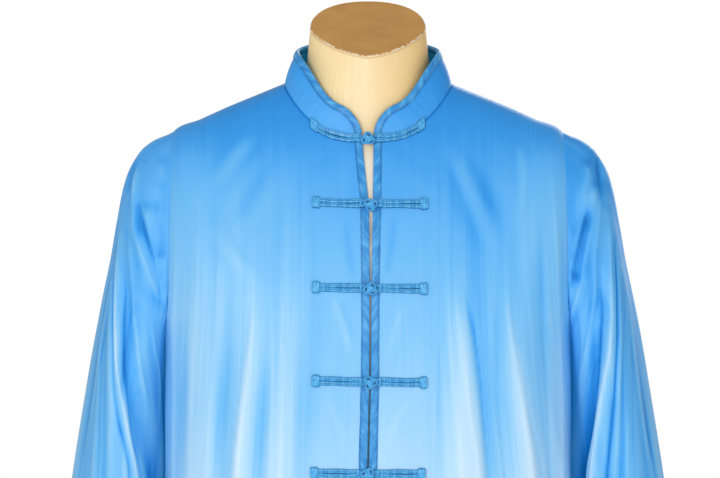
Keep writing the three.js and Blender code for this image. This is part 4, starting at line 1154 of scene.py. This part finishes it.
def collar_face(rows=17):
    """The collar's outer face from one centre front round the back to the other, and its corners."""
    neckline = curve_at(CLOTH_RINGS, 0.0)
    start = front_edge_turn(neckline)
    fine = turns_between(neckline, start, 180, np.linspace(0, 1, ARC_STEPS + 1))
    half = steps_along(ring_point(neckline, fine))[-1]
    near = 30 * np.linspace(0, 1, 41) ** 1.7
    stations = np.concatenate([near, np.linspace(30, half, 100)[1:]])
    turns = turns_between(neckline, start, 180, stations / half)
    corners = np.clip(1 - stations / COLLAR_CORNER, 0, 1)
    after = np.minimum(turns + 0.5, 180)
    along = unit(ring_point(neckline, after) - ring_point(neckline, turns - 0.5))
    outward = unit(np.stack([along[:, 1], -along[:, 0], 0 * turns], -1))
    lean = np.radians(round_neck(COLLAR_LEAN, COLLAR_LEAN_RISE, turns))[:, None]
    up = np.array([0.0, 0, 1]) * np.cos(lean) - outward * np.sin(lean)
    up = unit(up - along * (along * up).sum(-1, keepdims=True))
    rounded = (1 - corners**2.5) ** 0.56
    height = np.maximum(COLLAR_END, round_neck(COLLAR_HEIGHT, COLLAR_HEIGHT_RISE, turns) * rounded)
    foot = ring_point(neckline, turns) - up * 0.2
    t = np.linspace(1, 0, rows)[:, None]
    bow = COLLAR_BOW * 4 * t * (1 - t) * smooth(1 - corners)
    face = foot + up * (t * height)[..., None] + outward * bow[..., None]
    whole = np.concatenate([face, face[:, -2::-1] * (-1, 1, 1)], 1)
    return whole, np.concatenate([corners, corners[-2::-1]])


def collar_edge(face, corners):
    """The collar's upper edge, and the directions into the collar and out of its face along it."""
    normals = normals_of(face)[0]
    edge = face[0]
    down = unit(face[1] - edge)
    square = unit(np.cross(np.gradient(edge, axis=0), normals))
    square *= np.sign((square * down).sum(-1, keepdims=True))
    return edge, unit(lerp(down, square, smooth(corners * 6 + 0.3)[:, None])), normals


def make_collar():
    face, _ = collar_face()
    fall = steps_along(face)
    foot = fall[-1:] - fall
    along = np.broadcast_to(steps_along(face[-1])[None], foot.shape)
    normals = normals_of(face)
    relief = -0.3 * np.exp(-((foot / 1.2) ** 2))
    relief += 0.22 * ripples(along, fall + 40, RIPPLE_SEEDS["collar"], (34, 26))
    relief += 0.1 * gathers(along, foot, 1.7, 9, 4)
    grid = with_relief(face, relief, normals)
    under = grid[-1] + unit(grid[-1] - grid[-2]) * 1.6 - normals[-1] * 1.3
    grid = np.concatenate([grid, under[None]])
    # painted shade: the dye deepened along the collar's foot and on the row tucked under it, where it meets the
    # front
    seam = np.concatenate([-2.4 * np.exp(-((foot / 0.9) ** 2)), np.full((1, grid.shape[1]), -2.4)])
    tucked = np.concatenate([face, face[-1:]])
    spans = spans_of(grid)
    piece = shell(
        "cloth_collar", grid, COLLAR_WALL, SATIN, spans,
        dye=dye_down(tucked[..., 2] - COLLAR_DROP) - COLLAR_SIDE_SHADE * tucked[..., 0],
        relief=seam, stitch=np.full(seam.shape, AWAY), drape=np.full(seam.shape, COLLAR_DRAPE),
        flow=flow_vectors(spans[0] + SHEEN_STREAK_STARTS["collar"], spans[1]))
    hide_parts("collar")
    return piece


def binding_strip(
        name, edge, into, normals, node, width, inner_leaf, wall_behind, facing=None, mirrored=False, seed=0):
    """A satin strip folded round an edge and sewn down on its face, with the puckers of its stitching."""
    leaf, skin, crest = width - BINDING_SKIN, BINDING_SKIN, BINDING_CREST
    behind = -wall_behind - (crest if inner_leaf else 0)
    section = [
        (leaf, 0.1), (leaf - 0.1, crest * 0.7), (leaf - 0.45, crest * 0.96), (leaf - 1.0, crest * 0.72),
        (leaf * 0.72, crest * 1.04), (leaf * 0.52, crest * 1.14), (leaf * 0.32, crest * 1.14),
        (leaf * 0.14, crest * 1.1),
        (-skin * 0.2, crest), (-skin * 0.6, crest * 0.82), (-skin * 0.9, crest * 0.4), (-skin, -0.3),
        (-skin, behind / 2), (-skin * 0.9, behind * 0.8), (-skin * 0.4, behind * 0.97),
    ]
    if inner_leaf:
        section += [(inner_leaf * 0.3, behind), (inner_leaf * 0.7, behind), (inner_leaf, behind + 0.4)]
    inward, out = np.array(section, float).T
    run = steps_along(edge)[:, None]
    uneven = run + 7 * ripples(run + 500, 0 * run + 3.3, 51 + seed, (23, 20))
    phase = 2 * math.pi * (uneven + inward) / PUCKER_LENGTH
    on_face = np.exp(-(((inward - leaf * 0.45) / (leaf * 0.42)) ** 2)) * (out > 0)
    strength = np.clip(0.45 + 0.75 * ripples(run + 90, 0 * run + 7.1, 61 + seed, (31, 20)), 0, 1)
    pucker = 0.14 * strength * np.sin(phase) * on_face
    wander = 0.22 * ripples(run + 200, 0 * run, 71 + seed, (18, 20)) * (inward > 1)
    grid = edge[:, None] + into[:, None] * (inward + wander)[..., None]
    grid = grid + normals[:, None] * (out + pucker)[..., None]
    across = np.broadcast_to(inward, grid.shape[:2])
    stitch = np.abs(across - (leaf - 1.0))
    spans = (across + 20, np.broadcast_to(run, grid.shape[:2]))
    piece = shell(
        name, grid, BINDING_WALL, BINDING, spans,
        facing=facing, mirrored=mirrored, stitch=np.minimum(stitch, AWAY))
    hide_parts(node)
    return piece, float(run[-1, 0]) / 1000


def make_collar_binding():
    face, corners = collar_face(9)
    edge, into, normals = collar_edge(face, corners)
    piece, length = binding_strip(
        "trim_collar_binding", edge, into, normals, "collar_binding",
        COLLAR_BINDING_WIDTH, BINDING_BACK, COLLAR_WALL)


def make_front_binding(side):
    rings = body_rings(90, 120, 260)
    flat = np.array([front_edge_points(ring) for ring in rings])
    normals = normals_of(flat, facing=(0, -1, 0))[:, 0]
    edge = flat[:, 0].copy()
    into = unit(flat[:, 2] - flat[:, 0])
    piece, length = binding_strip(
        f"trim_binding_{side}", edge, into, normals, f"binding_{side}", BINDING_WIDTH, 0, 1.2,
        facing=(0, -1, 0), mirrored=side == "left", seed=1 if side == "left" else 2)


def front_edge_points(ring):
    row = curve_at(CLOTH_RINGS, ring)
    start = front_edge_turn(row)
    return ring_point(row, turns_between(row, start, 90, np.array([0, 0.02, 0.04, 0.06])))


# ---- Frogs -------------------------------------------------------------------------------------

SEARCH_STEPS = 40


def front_point(x, z):
    """Points of the smooth front at distances from the middle and heights."""
    high, low = np.zeros(np.shape(x)), np.full(np.shape(x), 3.0)
    for _ in range(SEARCH_STEPS):
        ring = (high + low) / 2
        row = curve_at(CLOTH_RINGS, ring)
        above = ring_point(row, turn_at_x(row, x))[..., 2] > z
        high, low = np.where(above, ring, high), np.where(above, low, ring)
    row = curve_at(CLOTH_RINGS, high)
    return ring_point(row, turn_at_x(row, x))


def tube(path, radius, sides):
    """A tube round a closed path: its grid of points."""
    ahead = unit(np.roll(path, -1, 0) - np.roll(path, 1, 0))
    outward = unit(path - path.mean(0))
    side = unit(np.cross(ahead, outward))
    lift = np.cross(side, ahead)
    turn = around(sides)[:, None]
    return path[:, None] + radius * (np.cos(turn) * side[:, None] + np.sin(turn) * lift[:, None])


def lay_level(level, x):
    """The height of a frog's middle line at a distance from the centre front."""
    if level != FROG_HEIGHTS[0]:
        return np.full(np.shape(x), float(level))
    neckline = curve_at(CLOTH_RINGS, 0.0)
    return ring_point(neckline, turn_at_x(neckline, x))[..., 2] - NECK_FROG_DROP


def strap_grid(level, x, half_width, heights, tilt, shift, sway):
    """Sections across a strap: rows along it, columns over it from its upper edge to its lower one."""
    middle = lay_level(level, x) + tilt * (x / FROG_REACH) ** 1.5
    point = front_point(x, middle)
    along = unit(front_point(x + 1, lay_level(level, x + 1)) - front_point(x - 1, lay_level(level, x - 1)))
    down = unit(front_point(x, middle - 4) - front_point(x, middle + 4))
    normal = np.cross(along, down)
    normal = normal * np.sign((normal * (0, -1, 0)).sum(-1, keepdims=True))
    across = (half_width[:, None] * shift + sway[:, None])[..., None]
    room = NECK_FROG_DROP if level == FROG_HEIGHTS[0] else 99
    over_seam = np.maximum(-across - room, 0) * (0, 0, 1)
    laid = point[:, None] + down[:, None] * np.maximum(across, -room) + over_seam
    return laid + normal[:, None] * heights[..., None]


def arch(turn, power):
    """The height of a closed section as a share of its crown, its lower half lying flat."""
    return np.where(np.sin(turn) > 0, np.abs(np.sin(turn)) ** power, 0)


def make_strap(number, level, side):
    """Two satin cords side by side, sewn down, with the wrapped tab at their outer end."""
    seed = number * 2 + (side == "right")
    wobble = np.random.RandomState(seed)
    tilt, phases = wobble.uniform(-1.1, 1.1), wobble.uniform(0, 6, 4)
    binding_end = float(curve_at(OPENING, level)[0]) + BINDING_WIDTH + 0.5
    x = np.linspace(FROG_START, FROG_REACH - TAB_LENGTH + 1.0, 64)
    over = BINDING_SKIN * 1.1 * (1 - smooth((x - binding_end + 1) / 2.5)) + 0.3
    pieces, tones = [], []
    narrow = 1 - 0.25 * np.exp(-(((x - FROG_START) / 2.5) ** 2))
    for which, phase in ((-1, phases[0]), (1, phases[1])):
        swing = 0.26 * np.sin(x / 7.3 + phase) + 0.06 * np.sin(x / 2.7 + phase * 2)
        width = CORD_HALF * narrow * (1 + 0.03 * np.sin(x / 3.9 + phase * 3))
        turn = around(28)
        shift = np.cos(turn)
        crown = CORD_CREST * (1 + 0.04 * np.sin(x / 4.4 + phase))[:, None]
        heights = over[:, None] + arch(turn, 0.75) * crown
        sway = which * CORD_HALF * narrow * 0.95 + swing
        pieces.append(strap_grid(level, x, width, heights, tilt, shift, sway))
        # darker along the stitched crown of each run and at its sides, where the darkening is partly painted
        # shade as the run turns down to the cloth and meets the other run
        sewn = 0.75 * np.exp(-((shift / 0.17) ** 2)) + np.clip(np.abs(shift) ** 3.2 * 1.25 - 0.25, 0, 1)
        tones.append(np.broadcast_to(sewn, heights.shape))
    bead = np.linspace(-1, 1, 22)
    tab_x = FROG_REACH - TAB_LENGTH / 2 + TAB_LENGTH / 2 * bead
    turn = around(22)
    round_end = (1 - np.abs(bead) ** 7) ** 0.3
    fold = 1 + 0.05 * np.sin(bead * 9 + phases[2])
    heights = 0.3 + arch(turn, 0.55) * TAB_CREST * (round_end * fold)[:, None]
    tab_half = TAB_HALF * np.maximum(round_end, 0.86) * (1 + 0.03 * np.sin(bead * 4 + phases[3]))
    shift = np.sign(np.cos(turn)) * np.abs(np.cos(turn)) ** 0.75
    pieces.append(strap_grid(level, tab_x, tab_half, heights, tilt, shift, 0 * tab_x))
    # painted shade: the tab darkened towards its ends and sides, where it turns down to the cloth
    tones.append(np.clip((1 - round_end)[:, None] * 1.1 + np.abs(shift)[None] ** 9 * 0.8 + 0 * heights, 0, 1))
    band = np.linspace(-1, 1, 14)
    band_x = FROG_START + BAND_PLACE + BAND_LENGTH / 2 * band
    round_band = (1 - band**4) ** 0.4
    turn = around(20)
    heights = BINDING_SKIN * 1.1 + arch(turn, 0.6) * BAND_CREST * round_band[:, None]
    band_half = BAND_HALF * np.maximum(round_band, 0.6)
    pieces.append(strap_grid(level, band_x, band_half, heights, tilt, np.cos(turn), 0 * band_x))
    # painted shade: the band darkened towards its ends, where it turns down to the cloth
    tones.append(np.broadcast_to((1 - round_band)[:, None] * 0.8, heights.shape))
    piece = joined_tubes(f"frog_{number}_cords_{side}", pieces, tones, CORD, side == "left")
    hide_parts(f"frog_{number}_strap_{side}")
    return piece


def joined_tubes(name, grids, tones, finish, mirrored=False):
    """One mesh of several runs of closed sections, their ends filled."""
    points, faces, spans, groove, start = [], [], [], [], 0
    for grid, tone in zip(grids, tones):
        rows, columns = grid.shape[:2]
        i, j = grid_corners(rows, columns, True)
        sides = start + i * columns + j % columns
        across, along = steps_along(closed_up(grid), 1), closed_up(steps_along(grid))
        cell = np.stack([along[i, j], across[i, j]], -1)
        middle = grid.mean(1, keepdims=True)
        turn = np.cross(grid[1:, 0] - grid[:-1, 0], grid[:-1, 1] - grid[:-1, 0])
        if (turn * (grid - middle)[:-1, 0]).sum() < 0:
            sides, cell = sides[:, ::-1], cell[:, ::-1]
        points += [grid.reshape(-1, 3), grid[0].mean(0, keepdims=True), grid[-1].mean(0, keepdims=True)]
        size = rows * columns
        faces.append((sides, cell))
        k = np.arange(columns)
        for centre, row in ((start + size, 0), (start + size + 1, rows - 1)):
            ring = start + row * columns
            fan = np.stack([0 * k + centre, ring + k, ring + (k + 1) % columns, 0 * k + centre], 1)
            fan = fan if row else fan[:, [0, 2, 1, 3]]
            faces.append((fan, np.zeros((columns, 4, 2))))
        # each filled end is darkened towards its middle
        groove += [np.asarray(tone, float).ravel(), [0.6, 0.6]]
        start += size + 2
    points = np.concatenate(points)
    quads = [(tuple(face), uv) for block, cells in faces for face, uv in zip(block.tolist(), cells)]
    polygons = [face[:3] if face[0] == face[3] else face for face, _ in quads]
    corners = [uv[: len(polygon)] for polygon, (_, uv) in zip(polygons, quads)]
    if mirrored:
        points = points * (-1, 1, 1)
        polygons = [polygon[::-1] for polygon in polygons]
        corners = [uv[::-1] for uv in corners]
    spans = np.concatenate(corners)
    return mesh_object(name, points, polygons, spans, finish, {"groove": np.concatenate(groove)})


def make_knot(number):
    """A ball knot: one cord woven over and under itself round a core."""
    low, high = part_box(f"frog_{number}_knot")
    centre = np.array((low + high) / 2) * 1000 - (0, 0, NECK_Z - (NECK_KNOT_RISE if number == 1 else 0))
    t = around(240)
    spin = 0.4 + number * 0.9
    polar = np.radians(52 + 42 * np.cos(3 * t))
    turn = 2 * t + spin
    height = 0.76 + 0.12 * np.sin(6 * t + 0.5)
    across = np.stack([np.sin(polar) * np.cos(turn), -np.cos(polar), np.sin(polar) * np.sin(turn)], -1)
    path = across * height[:, None] * np.array(KNOT_SIZE)
    cord = tube(path, KNOT_CORD, 12) + centre
    cord = np.concatenate([cord, cord[:1]])
    lat = np.radians(np.linspace(-88, 88, 14))[:, None]
    lon = around(24)
    core = np.stack([np.cos(lat) * np.cos(lon), np.sin(lat) + 0 * lon, np.cos(lat) * np.sin(lon)], -1)
    core = core * np.array(KNOT_SIZE) * KNOT_CORE + centre
    # painted shade: the cord darkened on its side that faces into the knot, and the core inside darkened all
    # over
    shade = np.broadcast_to(np.clip(0.35 - np.sin(around(12)), 0, 1) ** 1.5, cord.shape[:2])
    piece = joined_tubes(f"frog_{number}_ball_knot", [cord, core], [shade, np.full(core.shape[:2], 0.95)], CORD)
    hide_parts(f"frog_{number}_knot")
    return piece


# ---- Stage -------------------------------------------------------------------------------------

VIEW_WIDTH = 720  # mm across the picture at the jacket
CAMERA_ELEVATION = 6
CAMERA_DISTANCE = 9000
SENSOR = 36
AIM = (-8, -50, -149.6)  # mm, z from NECK_Z
LIT = (0, -0.1, 0.68)  # what the lights face, in metres

# name, place in metres, width and height in metres, power in watts
LIGHTS = [
    ("key", (-1.5, -3.0, 1.5), (0.9, 1.3), 36),
    ("front fill", (2.1, -2.6, 1.0), (1.6, 1.6), 15),
    ("front", (0.1, -3.6, 0.8), (1.2, 1.2), 19),
    ("back", (0.9, 2.9, 1.3), (1.6, 1.6), 26),
]
SKY_SEEN = 1.0
SKY_LIGHT = 0.5
FLOOR_RADIUS = 1.9
FLOOR_DROP = 0.0005  # keeps the floor clear of the base's underside


def metres(x, y, z):
    return Vector((x, y, z + NECK_Z)) / 1000


def place_camera():
    data = bpy.data.cameras.new("camera")
    data.sensor_width = SENSOR
    data.lens = SENSOR * CAMERA_DISTANCE / VIEW_WIDTH
    data.clip_end = 50
    camera = bpy.data.objects.new("camera", data)
    tilt = math.radians(CAMERA_ELEVATION)
    camera.location = metres(*AIM) + Vector((0, -math.cos(tilt), math.sin(tilt))) * CAMERA_DISTANCE / 1000
    camera.rotation_euler = (math.pi / 2 - tilt, 0, 0)
    bpy.context.scene.collection.objects.link(camera)
    bpy.context.scene.camera = camera


def soft_light(name, place, size, power):
    data = bpy.data.lights.new(name, "AREA")
    data.shape, data.size, data.size_y = "RECTANGLE", size[0], size[1]
    data.energy = power
    light = bpy.data.objects.new(name, data)
    light.location = place
    light.rotation_euler = (Vector(LIT) - Vector(place)).to_track_quat("-Z", "Y").to_euler()
    bpy.context.scene.collection.objects.link(light)


def light_stage():
    for light in LIGHTS:
        soft_light(*light)
    world = bpy.data.worlds.new("studio")
    world.use_nodes = True
    nodes, links = world.node_tree.nodes, world.node_tree.links
    seen = nodes["Background"]
    seen.inputs["Color"].default_value = (1, 1, 1, 1)
    seen.inputs["Strength"].default_value = SKY_SEEN
    lighting = nodes.new("ShaderNodeBackground")
    lighting.inputs["Color"].default_value = (1, 1, 1, 1)
    lighting.inputs["Strength"].default_value = SKY_LIGHT
    ray, both = nodes.new("ShaderNodeLightPath"), nodes.new("ShaderNodeMixShader")
    links.new(ray.outputs["Is Camera Ray"], both.inputs[0])
    links.new(lighting.outputs[0], both.inputs[1])
    links.new(seen.outputs[0], both.inputs[2])
    links.new(both.outputs[0], nodes["World Output"].inputs["Surface"])
    bpy.context.scene.world = world
    bpy.context.scene.view_settings.view_transform = "Standard"


def lay_floor():
    points = [(FLOOR_RADIUS * math.cos(t), FLOOR_RADIUS * math.sin(t), -FLOOR_DROP) for t in around(96)]
    mesh = bpy.data.meshes.new("floor")
    mesh.from_pydata(points, [], [tuple(range(len(points)))])
    mesh.materials.append(floor_finish())
    floor = bpy.data.objects.new("floor", mesh)
    bpy.context.scene.collection.objects.link(floor)


# ---- The whole part ----------------------------------------------------------------------------


def finish_nodes():
    """The solids that stay in view get their finishes."""
    finishes = {
        "form_torso": form_finish(), "form_neck_cap": cap_finish(), "stand_base": base_finish(),
        "stand_pole": steel_finish(), "stand_hub": steel_finish(),
    }
    for node, material in finishes.items():
        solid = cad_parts[node]
        solid.data.materials.clear()
        solid.data.materials.append(material)


place_camera()
light_stage()
lay_floor()
finish_nodes()
make_back()
for side in ("left", "right"):
    make_front(side)
    make_sleeve(side)
    make_front_binding(side)
make_collar()
make_collar_binding()
for number, level in enumerate(FROG_HEIGHTS, 1):
    make_knot(number)
    for side in ("left", "right"):
        make_strap(number, level, side)
